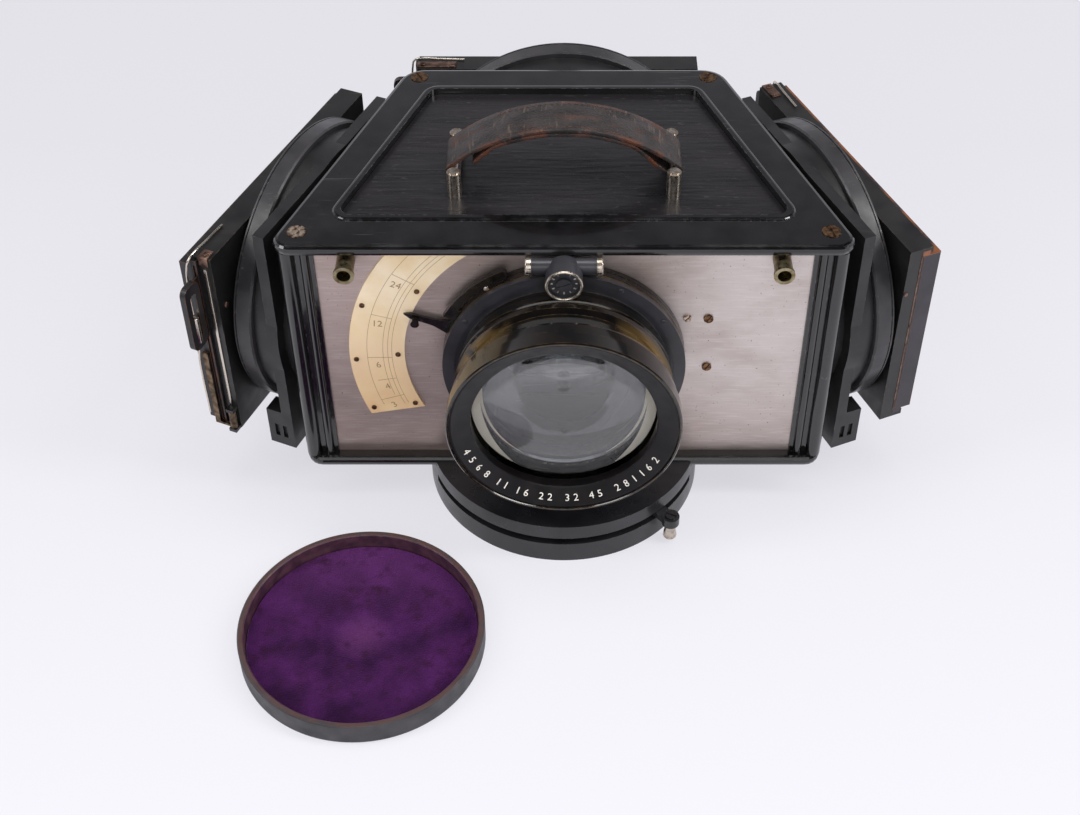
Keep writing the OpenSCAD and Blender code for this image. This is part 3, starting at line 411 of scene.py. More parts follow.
def draw_bar(x0, x1, y0, y1, z0, z1, edge=0.15):
    """A bar with eased edges, from corner to corner, in mm."""
    deselect()
    middle = Vector(((x0 + x1) / 2, (y0 + y1) / 2, (z0 + z1) / 2)) * MM
    bpy.ops.mesh.primitive_cube_add(size=MM, location=middle)
    obj = bpy.context.object
    obj.scale = (x1 - x0, y1 - y0, z1 - z0)
    bpy.ops.object.transform_apply(location=True, rotation=False, scale=True)
    if edge:
        bpy.ops.object.mode_set(mode="EDIT")
        bpy.ops.mesh.select_all(action="SELECT")
        bpy.ops.mesh.bevel(offset=edge * MM, segments=2, affect="EDGES")
        bpy.ops.object.mode_set(mode="OBJECT")
    return obj


def draw_pin(radius, height, place, axis, edge=0.2, slot=0.0, sides=24):
    """A round pin or screw head with a domed edge, and a slot where one is asked for."""
    deselect()
    bpy.ops.mesh.primitive_cylinder_add(vertices=sides, radius=radius * MM, depth=height * MM,
                                        location=(0, 0, height * MM / 2))
    obj = bpy.context.object
    bpy.ops.object.transform_apply(location=True)
    bpy.ops.object.mode_set(mode="EDIT")
    pick(obj, lambda centre, normal: normal.z > 0.9)
    bpy.ops.mesh.bevel(offset=edge * MM, segments=3, affect="EDGES")
    bpy.ops.object.mode_set(mode="OBJECT")
    if slot:
        bar = draw_bar(-radius - 1, radius + 1, -slot / 2, slot / 2, height - 0.35, height + 1, 0)
        cut = obj.modifiers.new("slot", "BOOLEAN")
        cut.operation = "DIFFERENCE"
        cut.object = bar
        cut.solver = "EXACT"
        bpy.context.view_layer.objects.active = obj
        bpy.ops.object.modifier_apply(modifier="slot")
        bpy.data.objects.remove(bar)
    turn = Vector((0, 0, 1)).rotation_difference(Vector(axis)).to_matrix().to_4x4()
    obj.data.transform(Matrix.Translation(Vector(place) * MM) @ turn)
    return obj


# Finishes: each is named for what the real part is made of

def case_lacquer():
    """Black stoving lacquer: deep gloss, fine scratches and pale edges where it is rubbed."""
    return coated_metal("Black stoving lacquer", "#09090a", "#151315", "#8f8d92", (0.10, 0.24), 0.5,
                        (0.52, 0.72), scratch=0.25, coat=0.6, relief=0.05)


def panel_lacquer():
    """Black lacquer over wood: the grain still shows as low, long ripples."""
    material, tree = new_material("Lacquered wood")
    colour = stain(tree, linear("#100f11"), linear("#1d1a1c"), 22, stretch=(0.35, 1, 1))
    colour = stain(tree, colour, linear("#312d2f"), 1.2, 0.62, 0.7, (0.3, 1, 1), detail=5.0, seed=9.0)
    rough = mottle(tree, 10, stretch=(0.3, 1, 1), seed=2.0, span=(0.22, 0.42))
    grain = mottle(tree, 2.0, 0.3, 0.7, (0.12, 1, 1), seed=6.0)
    close_material(tree, colour, rough, (grain, 0.12, 0.5), {"Coat Weight": 0.25, "Coat Roughness": 0.15})
    return material


def front_metal():
    """Satin nickel silver sheet: faint rolling marks, grey and pink stains, small dark specks."""
    material, tree = new_material("Satin nickel silver")
    place = position(tree)
    # Browner along the lower edge. Lighter on the right and browner on the left is painted light, as more
    # light falls on the right
    across = add_node(tree, "ShaderNodeMapRange", {"Value": place["X"], "From Min": -0.08,
                                                   "From Max": 0.075})
    colour = add_node(tree, "ShaderNodeMix", {0: across.outputs[0], 6: linear("#c6b4ad"),
                                              7: linear("#d4cac6")}, data_type="RGBA").outputs[2]
    low = add_node(tree, "ShaderNodeMapRange", {"Value": place["Z"], "From Min": 0.075, "From Max": 0.035,
                                                "To Max": 0.45})
    colour = add_node(tree, "ShaderNodeMix", {0: low.outputs[0], 6: colour, 7: linear("#a8968f")},
                      data_type="RGBA").outputs[2]
    colour = stain(tree, colour, linear("#a5938b"), 30, 0.45, 0.95, (1, 1, 1.4), detail=5.0)
    colour = stain(tree, colour, linear("#efe8e4"), 0.8, 0.5, 1.4, (0.08, 1, 1), detail=5.0, seed=4.0)
    colour = stain(tree, colour, linear("#5d4a42"), 0.9, 0.69, 0.74, detail=3.0, seed=8.0)
    rough = mottle(tree, 5, stretch=(0.3, 1, 1), seed=1.0, span=(0.44, 0.54))
    marks = mottle(tree, 0.6, 0.3, 0.7, (0.06, 1, 1), seed=6.0)
    close_material(tree, colour, rough, (marks, 0.02, 0.08), {"Metallic": 0.9})
    return material


def scale_metal():
    """Silvered brass gone cream yellow under old varnish, darker towards the bottom."""
    material, tree = new_material("Varnished silvered brass")
    low = add_node(tree, "ShaderNodeMapRange", {"Value": position(tree)["Z"], "From Min": 0.115,
                                                "From Max": 0.05})
    colour = add_node(tree, "ShaderNodeMix", {0: low.outputs[0], 6: linear("#ffeccb"), 7: linear("#eac291")},
                      data_type="RGBA").outputs[2]
    colour = stain(tree, colour, linear("#f3d8a8"), 12, 0.4, 0.75, seed=3.0)
    rough = mottle(tree, 6, seed=2.0, span=(0.36, 0.48))
    close_material(tree, colour, rough, (mottle(tree, 0.5, 0.3, 0.7, seed=5.0), 0.02, 0.1), {"Metallic": 0.2})
    return material


def pin_brass():
    """Brass pins with most of the black worn off: brown, with dark spots."""
    return bare_metal("Tarnished brass", "#8f6e51", "#3f2c22", (0.32, 0.5), 1.6, 0.35, 0.65)


def screw_brass():
    """The same brass on the case's screws, bare and bright on the two heads at BRIGHT_HEADS."""
    material, tree = new_material("Rubbed brass screws")
    colour = stain(tree, linear("#8f6e51"), linear("#3f2c22"), 1.6, 0.35, 0.65, detail=6.0)
    place = add_node(tree, "ShaderNodeTexCoord")
    for spot, reach in BRIGHT_HEADS:
        near = add_node(tree, "ShaderNodeVectorMath", {0: place.outputs["Object"], 1: Vector(spot) * MM},
                        operation="DISTANCE")
        bright = add_node(tree, "ShaderNodeMapRange",
                          {"Value": near.outputs["Value"], "From Min": reach * MM,
                           "From Max": reach * 0.7 * MM,
                           "To Max": mottle(tree, 1.6, 0.42, 0.56, detail=6.0, seed=5.0)})
        colour = add_node(tree, "ShaderNodeMix", {0: bright.outputs[0], 6: colour, 7: linear("#d0bfae")},
                          data_type="RGBA").outputs[2]
    rough = mottle(tree, 0.8, seed=4.0, span=(0.32, 0.5))
    grain = mottle(tree, 0.4, 0.3, 0.7, seed=6.0)
    close_material(tree, colour, rough, (grain, 0.02, 0.15), {"Metallic": 1.0})
    return material


def latch_brass():
    """Plain brass sheet, yellow brown with dark spots."""
    return bare_metal("Handled brass", "#85705a", "#2e261f", (0.32, 0.5), 3.0, 0.35, 0.65)


def nickel():
    """Nickel plate gone warm, thin on the corners."""
    return bare_metal("Old nickel plate", "#c9beb2", "#85786a", (0.22, 0.4), 2.4, 0.45, 0.8)


def socket_nickel():
    """Nickel on brass tube, with the brass showing through as olive yellow."""
    return bare_metal("Thin nickel on brass", "#a79c7f", "#6b5d3c", (0.25, 0.45), 3.0, 0.35, 0.7)


def shutter_enamel():
    """Satin black enamel, bluish, with a soft sheen and few marks."""
    return coated_metal("Satin black enamel", "#29292d", "#36353a", "#8a8178", (0.28, 0.40), 0.35,
                        (0.5, 0.75), scratch=0.1, grain_mm=0.4)


def shutter_rim():
    """Black enamel handled down to brown brass round the rim."""
    return coated_metal("Rubbed black enamel", "#1b1613", "#3a2c20", "#7b6543", (0.30, 0.5), 0.8, (0.35, 0.6),
                        patch_mm=7.0, scratch=0.3)


def lever_enamel():
    """Gloss black enamel on small levers, brown on the corners."""
    return coated_metal("Lever enamel", "#0c0b0b", "#171311", "#7a6247", (0.15, 0.3), 0.3, (0.45, 0.7),
                        patch_mm=5.0)


def barrel_lacquer():
    """Gloss black lens lacquer, worn through to brass where fingers turn it."""
    material, tree = new_material("Worn lens lacquer")
    place = position(tree)
    worn = mottle(tree, 9, 0.30, 0.42, detail=5.0, seed=4.0)
    near, far = GRIP_Y
    # The wear is on both flanks of the cone and keeps off its top
    flank = add_node(tree, "ShaderNodeMath", {0: place["X"]}, operation="ABSOLUTE").outputs[0]
    for along, start, end in ((place["Y"], near, near - 1.3), (place["Y"], far, far + 1.7),
                              (flank, 20, 34)):
        worn = add_node(tree, "ShaderNodeMapRange", {"Value": along, "From Min": start * MM,
                                                     "From Max": end * MM, "To Max": worn}).outputs[0]
    wear = add_node(tree, "ShaderNodeMath", {0: worn, 1: rubbed_edges(tree, 0.35, 3.0, 0.42, 0.62)},
                    operation="MAXIMUM").outputs[0]
    colour = stain(tree, linear("#0b0b0c"), linear("#181310"), 10)
    colour, rough = worn_through(tree, wear, colour, "#8d7347", 0.14, 0.34)
    close_material(tree, colour, rough, (mottle(tree, 0.6, 0.3, 0.7, seed=7.0), 0.02, 0.08),
                   {"Metallic": wear, "Coat Weight": 0.3, "Coat Roughness": 0.06})
    return material


def bezel_black():
    """Satin black ring round the glass, brown where it is rubbed."""
    return coated_metal("Satin black bezel", "#0f0e10", "#191516", "#7c7168", (0.30, 0.42), 0.35, (0.5, 0.7),
                        patch_mm=8.0, shine=0.25)


def casting_black():
    """Satin black paint on cast and turned metal: dusty grey, pale specks on the edges."""
    return coated_metal("Satin black on castings", "#131315", "#1f1e1f", "#8f8478", (0.36, 0.5), 0.4,
                        (0.55, 0.72), scratch=0.2, grain_mm=0.5, relief=0.2)


def ring_black():
    """Satin black focusing rings, with pale chips along the edge."""
    return coated_metal("Satin black rings", "#222225", "#323032", "#a0968a", (0.32, 0.46), 0.35,
                        (0.56, 0.66), scratch=0.35, grain_mm=0.4, relief=0.15)


def drum_lacquer():
    """Semi-gloss black on the base drum: clean, with a few bright nicks on its rim."""
    return coated_metal("Semi-gloss black drum", "#1a1a1d", "#242427", "#9b9488", (0.26, 0.36), 0.35,
                        (0.60, 0.72), scratch=0.15, grain_mm=0.5, relief=0.08)


def back_black():
    """Satin black paint on brass sheet, thin on the edges."""
    return coated_metal("Satin black on brass sheet", "#121213", "#1d1c1c", "#9a8664", (0.28, 0.44), 0.4,
                        (0.5, 0.72), scratch=0.2)


def holder_black():
    """Black japanned sheet of the plate holders, with rust and brass along folded edges."""
    return coated_metal("Japanned sheet", "#151416", "#211e22", "#8a5d42", (0.3, 0.46), 0.6, (0.40, 0.60),
                        patch_mm=18.0, scratch=0.3, bare_gloss=0.5)


def adapter_black():
    """Japanned adapter of the right back: purplish grey front, red brown on the edges."""
    return coated_metal("Japanned adapter", "#211f24", "#302c33", "#855243", (0.3, 0.42), 0.7, (0.36, 0.60),
                        patch_mm=16.0, scratch=0.5, bare_gloss=0.55, top_edge=(ADAPTER_TOP_Z, "#7d4a29"))


def blued_leaves():
    """Thin blued steel leaves: dark, blue grey, satin."""
    return bare_metal("Blued steel", "#3f434b", "#2b2c31", (0.3, 0.42), 8.0)


def half_mirror():
    """Half-silvered plate: a grey mirror with a faint purple bloom."""
    return bare_metal("Half-silvered plate", "#b9b4bb", "#a59fa6", (0.03, 0.06), 40.0, relief=0.0)


def tab_copper():
    """Thin copper brown sheet, pinkish where it is bare and nearly black where it is not."""
    return bare_metal("Copper brown sheet", "#94776a", "#3a2b26", (0.36, 0.52), 3.5, 0.35, 0.7)


def bright_nickel():
    """Nickelled steel wire and edge strip, bright and nearly clean."""
    return bare_metal("Bright nickel wire", "#d6ccc0", "#a3978a", (0.18, 0.30), 14.0, 0.5, 0.9)


def velvet():
    """Short purple velvet, lighter where the pile is pressed, with painted shade towards the front of the cap
    and a soft sheen.
    """
    material, tree = new_material("Purple velvet")
    pressed = mottle(tree, 15, 0.36, 0.66, detail=6.0)
    place = add_node(tree, "ShaderNodeTexCoord")
    from_centre = add_node(tree, "ShaderNodeVectorMath",
                           {0: place.outputs["Object"], 1: Vector((*CAP_CENTRE, 3.4)) * MM},
                           operation="DISTANCE")
    middle = add_node(tree, "ShaderNodeMapRange", {"Value": from_centre.outputs["Value"], "From Min": 0.013,
                                                   "From Max": 0.002, "To Max": 0.45})
    # Painted light and shade: lighter towards the back of the cap, darker towards its front where its wall
    # shades the velvet
    painted_wall_shade = add_node(tree, "ShaderNodeMapRange", {"Value": position(tree)["Y"], "From Min": -0.095,
                                                  "From Max": -0.055, "To Max": 0.6})
    colour = linear("#26082b")
    for mask, tone in ((pressed, "#451b4e"), (middle.outputs[0], "#6f3a70"), (painted_wall_shade.outputs[0], "#5f2d66")):
        colour = add_node(tree, "ShaderNodeMix", {0: mask, 6: colour, 7: linear(tone)},
                          data_type="RGBA").outputs[2]
    colour = stain(tree, colour, linear("#2a0d20"), 6, 0.52, 0.78, detail=8.0, seed=11.0)
    colour = stain(tree, colour, linear("#1c0630"), 0.7, 0.3, 0.7, detail=2.0, seed=2.0, span=(0, 0.35))
    rough = add_node(tree, "ShaderNodeMapRange", {"Value": pressed, "To Min": 0.85, "To Max": 0.95})
    pile = mottle(tree, 0.7, 0.3, 0.7, detail=2.0, seed=2.0)
    close_material(tree, colour, rough.outputs[0], (pile, 0.3, 0.6),
                   {"Sheen Weight": 0.6, "Sheen Roughness": 0.4, "Sheen Tint": linear("#c58bd0"),
                    "Specular IOR Level": 0.1})
    return material


def cap_cloth():
    """Cap body: black bookcloth over card, dusty, brown on the rim and lined inside it."""
    material, tree = new_material("Black bookcloth")
    colour = stain(tree, linear("#29282c"), linear("#3a373b"), 12)
    place = add_node(tree, "ShaderNodeTexCoord")
    flat = add_node(tree, "ShaderNodeMapping", {"Vector": place.outputs["Object"], "Scale": (1, 1, 0)})
    out = add_node(tree, "ShaderNodeVectorMath", {0: flat.outputs[0], 1: Vector((*CAP_CENTRE, 0)) * MM},
                   operation="DISTANCE")
    # Inside the rim, the wall keeps the pile of the velvet that was cut from it
    wall = add_node(tree, "ShaderNodeMapRange", {"Value": out.outputs["Value"], "From Max": CAP_INSIDE_R * MM,
                                                 "From Min": (CAP_INSIDE_R + 0.4) * MM})
    rubbed = add_node(tree, "ShaderNodeMapRange",
                      {"Value": position(tree)["Z"], "From Min": (CAP_TOP_Z - 0.4) * MM,
                       "From Max": CAP_TOP_Z * MM,
                       "To Max": mottle(tree, 4, 0.25, 0.55, detail=6.0, seed=3.1)})
    lining = stain(tree, linear("#3d2433"), linear("#5a3a44"), 5, seed=3.0)
    for mask, tone in ((wall.outputs[0], lining), (rubbed.outputs[0], linear("#472f2c"))):
        colour = add_node(tree, "ShaderNodeMix", {0: mask, 6: colour, 7: tone}, data_type="RGBA").outputs[2]
    rough = mottle(tree, 7, seed=2.0, span=(0.42, 0.6))
    close_material(tree, colour, rough, (mottle(tree, 0.5, 0.3, 0.7, seed=7.0), 0.03, 0.5))
    return material


def strap_leather():
    """Saddle leather, grey black on the grain side and orange brown where the dye is gone."""
    material, tree = new_material("Worn saddle leather")
    colour = stain(tree, linear("#332d2c"), linear("#1e1918"), 7, 0.4, 0.65, (0.5, 1, 1))
    bare = mottle(tree, 5, 0.55, 0.72, (0.4, 1, 1), detail=6.0, seed=5.0)
    colour = add_node(tree, "ShaderNodeMix", {0: bare, 6: colour, 7: linear("#4a3127")},
                      data_type="RGBA").outputs[2]
    colour = stain(tree, colour, linear("#4d423b"), 1.6, 0.60, 0.68, (1, 0.15, 1), (0, 0, 0.2), 5.0, 12.0)
    # The dye is gone along both long edges
    across = add_node(tree, "ShaderNodeMath", {0: position(tree)["Y"], 1: STRAP_Y * MM}, operation="SUBTRACT")
    away = add_node(tree, "ShaderNodeMath", {0: across.outputs[0]}, operation="ABSOLUTE")
    edge = add_node(tree, "ShaderNodeMapRange",
                    {"Value": away.outputs[0], "From Min": 0.0078, "From Max": 0.0098,
                     "To Max": mottle(tree, 6, 0.46, 0.68, detail=6.0, seed=8.0)})
    colour = add_node(tree, "ShaderNodeMix", {0: edge.outputs[0], 6: colour, 7: linear("#59321f")},
                      data_type="RGBA").outputs[2]
    rough = add_node(tree, "ShaderNodeMapRange", {"Value": bare, "To Min": 0.48, "To Max": 0.7})
    close_material(tree, colour, rough.outputs[0], (mottle(tree, 1.1, 0.35, 0.65, seed=2.0), 0.2, 0.6),
                   {"Specular IOR Level": 0.4})
    return material


def thread_leather():
    """Waxed thread of the strap, orange brown and fibrous like its cut edges."""
    material, tree = new_material("Raw leather")
    colour = stain(tree, linear("#33231c"), linear("#5c3525"), 4, 0.35, 0.65, (0.5, 1, 1))
    rough = mottle(tree, 3, span=(0.7, 0.85))
    close_material(tree, colour, rough, (mottle(tree, 0.7, 0.3, 0.7, seed=2.0), 0.3, 0.7))
    return material


# Settings

class CameraFinish(bpy.types.PropertyGroup):
    """Sizes and colours of the fine parts."""
    mark_colour: bpy.props.FloatVectorProperty(
        name="Mark colour", description="Colour of the numbers round the glass and on the dial",
        subtype="COLOR", size=3, min=0, max=1, default=linear("#e9e4da")[:3])
    scale_ink: bpy.props.FloatVectorProperty(
        name="Scale ink", description="Colour of the lines and numbers on the aperture scale",
        subtype="COLOR", size=3, min=0, max=1, default=linear("#a1875f")[:3])
    leather_t: bpy.props.FloatProperty(
        name="Strap leather", description="Thickness of the leather of the handle",
        default=0.0017, min=0.001, max=0.0025, unit="LENGTH")
    velvet_t: bpy.props.FloatProperty(
        name="Velvet", description="Thickness of the velvet disc in the cap",
        default=0.0012, min=0.0006, max=0.0014, unit="LENGTH")


class CameraStage(bpy.types.PropertyGroup):
    """Floor, lights and view."""
    floor_colour: bpy.props.FloatVectorProperty(
        name="Floor", description="Colour of the floor", subtype="COLOR", size=3, min=0, max=1,
        default=linear("#f0eff5")[:3])
    floor_glow: bpy.props.FloatProperty(
        name="Floor tone", description="Share of the floor's tone that no shadow darkens",
        default=0.78, min=0, max=1)
    lens_mm: bpy.props.FloatProperty(
        name="Focal length", description="Focal length of the view, on a 36 mm wide sensor",
        default=55.06, min=20, max=200)
    key_power: bpy.props.FloatProperty(
        name="Softboxes", description="Mean power of the two softboxes", default=11.0, min=0, max=200)
    sky_power: bpy.props.FloatProperty(
        name="Overhead", description="Power of the overhead panel", default=16.0, min=0, max=200)
    front_power: bpy.props.FloatProperty(
        name="Front", description="Power of the low panel in front", default=9.0, min=0, max=200)
    room_light: bpy.props.FloatProperty(
        name="Room", description="Strength of the light from all round", default=0.42, min=0, max=2)


# Operators

class OBJECT_OT_camera_stage(bpy.types.Operator):
    """Adds the floor, the lights and the view"""
    bl_idname = "object.camera_stage"
    bl_label = "Stage"

    def execute(self, context):
        stage = context.scene.camera_stage
        self.floor(stage)
        self.lights(stage)
        self.room(stage)
        self.view(context, stage)
        context.scene.view_settings.view_transform = "Standard"
        return {"FINISHED"}

    def floor(self, stage):
        """Pale matt paper. Where it is seen, most of its tone is its own, so its shadows stay pale."""
        deselect()
        bpy.ops.mesh.primitive_plane_add(size=14, location=(0, 0, 0))
        floor = bpy.context.object
        floor.name = "floor"
        material, tree = new_material("Matt paper")
        paper = add_node(tree, "ShaderNodeBsdfPrincipled", {"Base Color": (*stage.floor_colour, 1),
                                                            "Roughness": 0.9, "Specular IOR Level": 0.1})
        # Painted shade: the paper's tone darkens towards the back, where less light reaches it
        far = add_node(tree, "ShaderNodeMapRange", {"Value": position(tree)["Y"], "From Min": -0.25,
                                                    "From Max": 0.25})
        tone = add_node(tree, "ShaderNodeMix", {0: far.outputs[0], 6: linear("#f1f0f7"),
                                                7: linear("#d9d8de")}, data_type="RGBA")
        pale = add_node(tree, "ShaderNodeEmission", {"Color": tone.outputs[2], "Strength": 1.0})
        share = add_node(tree, "ShaderNodeMath", {0: seen_rays(tree), 1: stage.floor_glow},
                         operation="MULTIPLY")
        both = add_node(tree, "ShaderNodeMixShader", {0: share.outputs[0], 1: paper.outputs[0],
                                                      2: pale.outputs[0]})
        add_node(tree, "ShaderNodeOutputMaterial", {"Surface": both.outputs[0]})
        floor.data.materials.append(material)

    def lights(self, stage):
        """Two tall softboxes, the right one stronger, a panel overhead and a wide low one in front."""
        # Name, place and size in metres, and power
        panels = (
            ("softbox_left", (-1.15, -0.35, 1.15), (0.35, 1.1), stage.key_power * 0.75),
            ("softbox_right", (1.15, -0.25, 1.2), (0.35, 1.1), stage.key_power * 1.25),
            ("overhead", (0.0, 0.1, 1.9), (1.4, 0.8), stage.sky_power),
            ("front_fill", (0.0, -1.5, 0.9), (1.8, 0.8), stage.front_power),
        )
        aim = Vector((0, 0, 0.05))
        for name, place, size, power in panels:
            data = bpy.data.lights.new(name, "AREA")
            data.shape = "RECTANGLE"
            data.size, data.size_y = size
            data.energy = power
            light = bpy.data.objects.new(name, data)
            light.location = place
            light.rotation_euler = (aim - Vector(place)).to_track_quat("-Z", "Y").to_euler()
            bpy.context.scene.collection.objects.link(light)

    def room(self, stage):
        """White paper that sweeps up behind the object, with a dark room above it and in front."""
        world = bpy.data.worlds.new("Pale room")
        bpy.context.scene.world = world
        world.use_nodes = True
        tree = world.node_tree
        tree.nodes.clear()
        room = add_node(tree, "ShaderNodeBackground", {"Color": linear("#f2f1f8"),
                                                       "Strength": stage.room_light})
        way = add_node(tree, "ShaderNodeTexCoord")
        parts = add_node(tree, "ShaderNodeSeparateXYZ", {0: way.outputs["Generated"]}).outputs
        high = add_node(tree, "ShaderNodeMapRange", {"Value": parts["Z"], "From Min": 0.26,
                                                     "From Max": 0.72})
        front = add_node(tree, "ShaderNodeMapRange", {"Value": parts["Y"], "From Min": 0.1,
                                                      "From Max": -0.35})
        dark = add_node(tree, "ShaderNodeMath", {0: high.outputs[0], 1: front.outputs[0]},
                        operation="MAXIMUM")
        tone = add_node(tree, "ShaderNodeMix", {0: dark.outputs[0], 6: linear("#ebeaf1"),
                                                7: linear("#1b1a1c")}, data_type="RGBA")
        backdrop = add_node(tree, "ShaderNodeBackground", {"Color": tone.outputs[2], "Strength": 1.0})
        both = add_node(tree, "ShaderNodeMixShader", {0: seen_rays(tree), 1: room.outputs[0],
                                                      2: backdrop.outputs[0]})
        add_node(tree, "ShaderNodeOutputWorld", {0: both.outputs[0]})

    def view(self, context, stage):
        """The place from which the photograph was taken, solved from its edges and circles."""
        data = bpy.data.cameras.new("view")
        data.sensor_width = 36
        data.lens = stage.lens_mm
        data.shift_x, data.shift_y = -0.0199, -0.0093
        data.clip_start = 0.01
        view = bpy.data.objects.new("view", data)
        view.location = Vector((-1.0, -524.2, 550.7)) * MM
        view.rotation_euler = (math.radians(45.74), 0, 0)
        context.scene.collection.objects.link(view)
        context.scene.camera = view


class OBJECT_OT_camera_case(bpy.types.Operator):
    """Finishes the case, its base drum, its screws and what is inside it"""
    bl_idname = "object.camera_case"
    bl_label = "Case"

    def execute(self, context):
        give(case_lacquer(), "body_shell", "top_cover", "base_plate", "corner_posts")
        give(panel_lacquer(), "top_panel")
        give(front_metal(), "front_plate")
        give(screw_brass(), "case_screws")
        give(drum_lacquer(), "focus_drum", "focus_lever")
        give(latch_brass(), "tripod_bush")
        give(nickel(), "lever_knob", "handle_brackets")
        give(socket_nickel(), "accessory_sockets")
        give(casting_black(), "mirror_frame")
        give(half_mirror(), "semi_mirrors")
        return {"FINISHED"}


class OBJECT_OT_camera_lens(bpy.types.Operator):
    """Finishes the lens, the shutter and the iris, and engraves their numbers"""
    bl_idname = "object.camera_lens"
    bl_label = "Lens and shutter"

    # The dished ring round the glass: inner and outer edge as radius and distance from the front plate
    dish = ((38.25, 40.4), (45.3, 44.1))
    # The dial's centre over the lens's, and how far its face is from the front plate
    dial_y, dial_face = 52.2, 15.53
    # Where each digit stands on the ring, anticlockwise from the right, in degrees
    ring_digits = ((200, "4"), (207, "5"), (214, "6"), (221, "8"), (230, "1"), (235, "1"), (243, "1"),
                   (248, "6"), (257, "2"), (262, "2"), (272, "3"), (277, "2"), (286, "4"), (291, "5"),
                   (302, "2"), (308, "8"), (314, "1"), (320, "1"), (326, "6"), (333, "2"))

    def execute(self, context):
        finish = context.scene.camera_finish
        give(shutter_rim(), "shutter_case")
        give(shutter_enamel(), "shutter_face", "speed_dial", "air_cylinder")
        give(lever_enamel(), "diaphragm_ring", "cocking_lever")
        give(barrel_lacquer(), "barrel_front")
        give(bezel_black(), "retaining_ring", "barrel_rear")
        give(glass("Front glass", "#ffffff"), "lens_front")
        give(glass("Inner glass", "#f7fbff"), "lens_middle", "lens_rear")
        give(blued_leaves(), *[f"iris_leaf_{i}" for i in range(1, 7)])
        self.numbers(finish)
        self.painted_edge_glints()
        self.screws()
        self.dial(finish)
        self.cylinder_caps()
        return {"FINISHED"}

    def numbers(self, finish):
        """Small numbers engraved in the dished ring round the glass."""
        (inner_r, inner_y), (outer_r, outer_y) = self.dish
        slope = math.atan2(outer_y - inner_y, outer_r - inner_r)
        # A little above the middle of the dish, where the photograph has its marks
        seat = Vector((42.1, 0, 42.53)) * MM
        pieces = []
        for angle, digit in self.ring_digits:
            piece = draw_number(digit, 3.3, 0.16)
            piece.data.transform(Matrix.Rotation(math.radians(angle), 4, "Z") @ Matrix.Translation(seat)
                                 @ Matrix.Rotation(-slope, 4, "Y") @ Matrix.Rotation(math.pi / 2, 4, "Z"))
            pieces.append(piece)
        wax = rubbed_in_and_glint("White wax", finish.mark_colour)
        settle(join(pieces), on_lens(), "ring_numbers", wax, "case")

    def painted_edge_glints(self):
        """Painted highlights: bright crescents behind the front glass on both sides, laid on the ground edges
        of two elements.
        """
        # Radius, width, first and last angle of each bright arc, and its distance from the front plate
        elements = ((33.4, 4.6, -56, 26, 26.4), (33.4, 4.6, 154, 236, 26.4),
                    (29.6, 1.2, -60, 60, 20.9), (29.6, 1.2, 120, 240, 20.9))
        pieces = []
        for radius, width, start, end, depth in elements:
            arc = draw_arc(radius, width, start, end, 0.3, 48)
            # The inner edge closes up to the outer one at both ends, as a crescent
            for vertex in arc.data.vertices:
                reach = vertex.co.xy.length / MM
                if reach < radius:
                    turn = math.degrees(math.atan2(vertex.co.y, vertex.co.x)) - start
                    along = min(1.0, turn % 360 / (end - start))
                    open_by = width * max(0.02, math.sin(math.pi * along)) ** 0.7
                    vertex.co.xy *= (radius + width / 2 - open_by) / reach
            arc.data.transform(Matrix.Translation((0, 0, depth * MM)))
            pieces.append(arc)
        # Painted reflection: pale paint where the glass shows bright crescents of reflected light
        ground = rubbed_in_and_glint("Painted glint on glass edge", linear("#fff8e6")[:3], 0.35, thin=1.0)
        settle(join(pieces), on_lens(), "painted_edge_glints", ground, "case")

    def screws(self):
        """Screws of the shutter face and the small stud of the cocking lever."""
        def on_circle(radius, degrees, height):
            turn = math.radians(degrees)
            return radius * math.cos(turn), radius * math.sin(turn), height

        screw = draw_pin(1.25, 0.55, (0, 0, 0), (0, 0, 1), 0.2, 0.4)
        places = [Matrix.Translation(Vector(on_circle(48, angle, 8.55)) * MM)
                  for angle in (33, 62, 147, 205, 335)]
        settle(repeat(screw, places), on_lens(), "face_screws", shutter_enamel(), "case")
        stud = draw_pin(1.1, 0.7, on_circle(51.5, 127, 5.4), (0, 0, 1), 0.3, 0.35)
        settle(stud, on_lens(), "lever_stud", nickel(), "cocking")

    def dial(self, finish):
        """Nickel rim and white marks of the speed dial."""
        deselect()
        bpy.ops.mesh.primitive_torus_add(major_radius=6.9 * MM, minor_radius=0.6 * MM, major_segments=64,
                                         minor_segments=10, location=(0, self.dial_y * MM, 17 * MM))
        rim = bpy.context.object
        bpy.ops.object.transform_apply(location=True)
        settle(rim, on_lens(), "dial_rim", nickel(), "shutter_speed")
        marks = []
        for index, angle in enumerate(range(-150, 151, 30)):
            turn = math.radians(angle - 90)
            place = (4.9 * math.cos(turn), self.dial_y + 4.9 * math.sin(turn), self.dial_face)
            digit = draw_number("124815"[index % 6], 1.1)
            digit.data.transform(Matrix.Translation(Vector(place) * MM)
                                 @ Matrix.Rotation(turn + math.pi / 2, 4, "Z"))
            marks.append(digit)
        paint = rubbed_in_and_glint("White dial paint", finish.mark_colour)
        settle(join(marks), on_lens(), "dial_marks", paint, "shutter_speed")

    def cylinder_caps(self):
        """Nickel caps on both ends of the air cylinder."""
        caps = [draw_pin(4.0, 2.4, (13.0 * side, 54.2, 7.2), (side, 0, 0), 0.5, 0.0, 40) for side in (-1, 1)]
        settle(join(caps), on_lens(), "cylinder_caps", nickel(), "case")


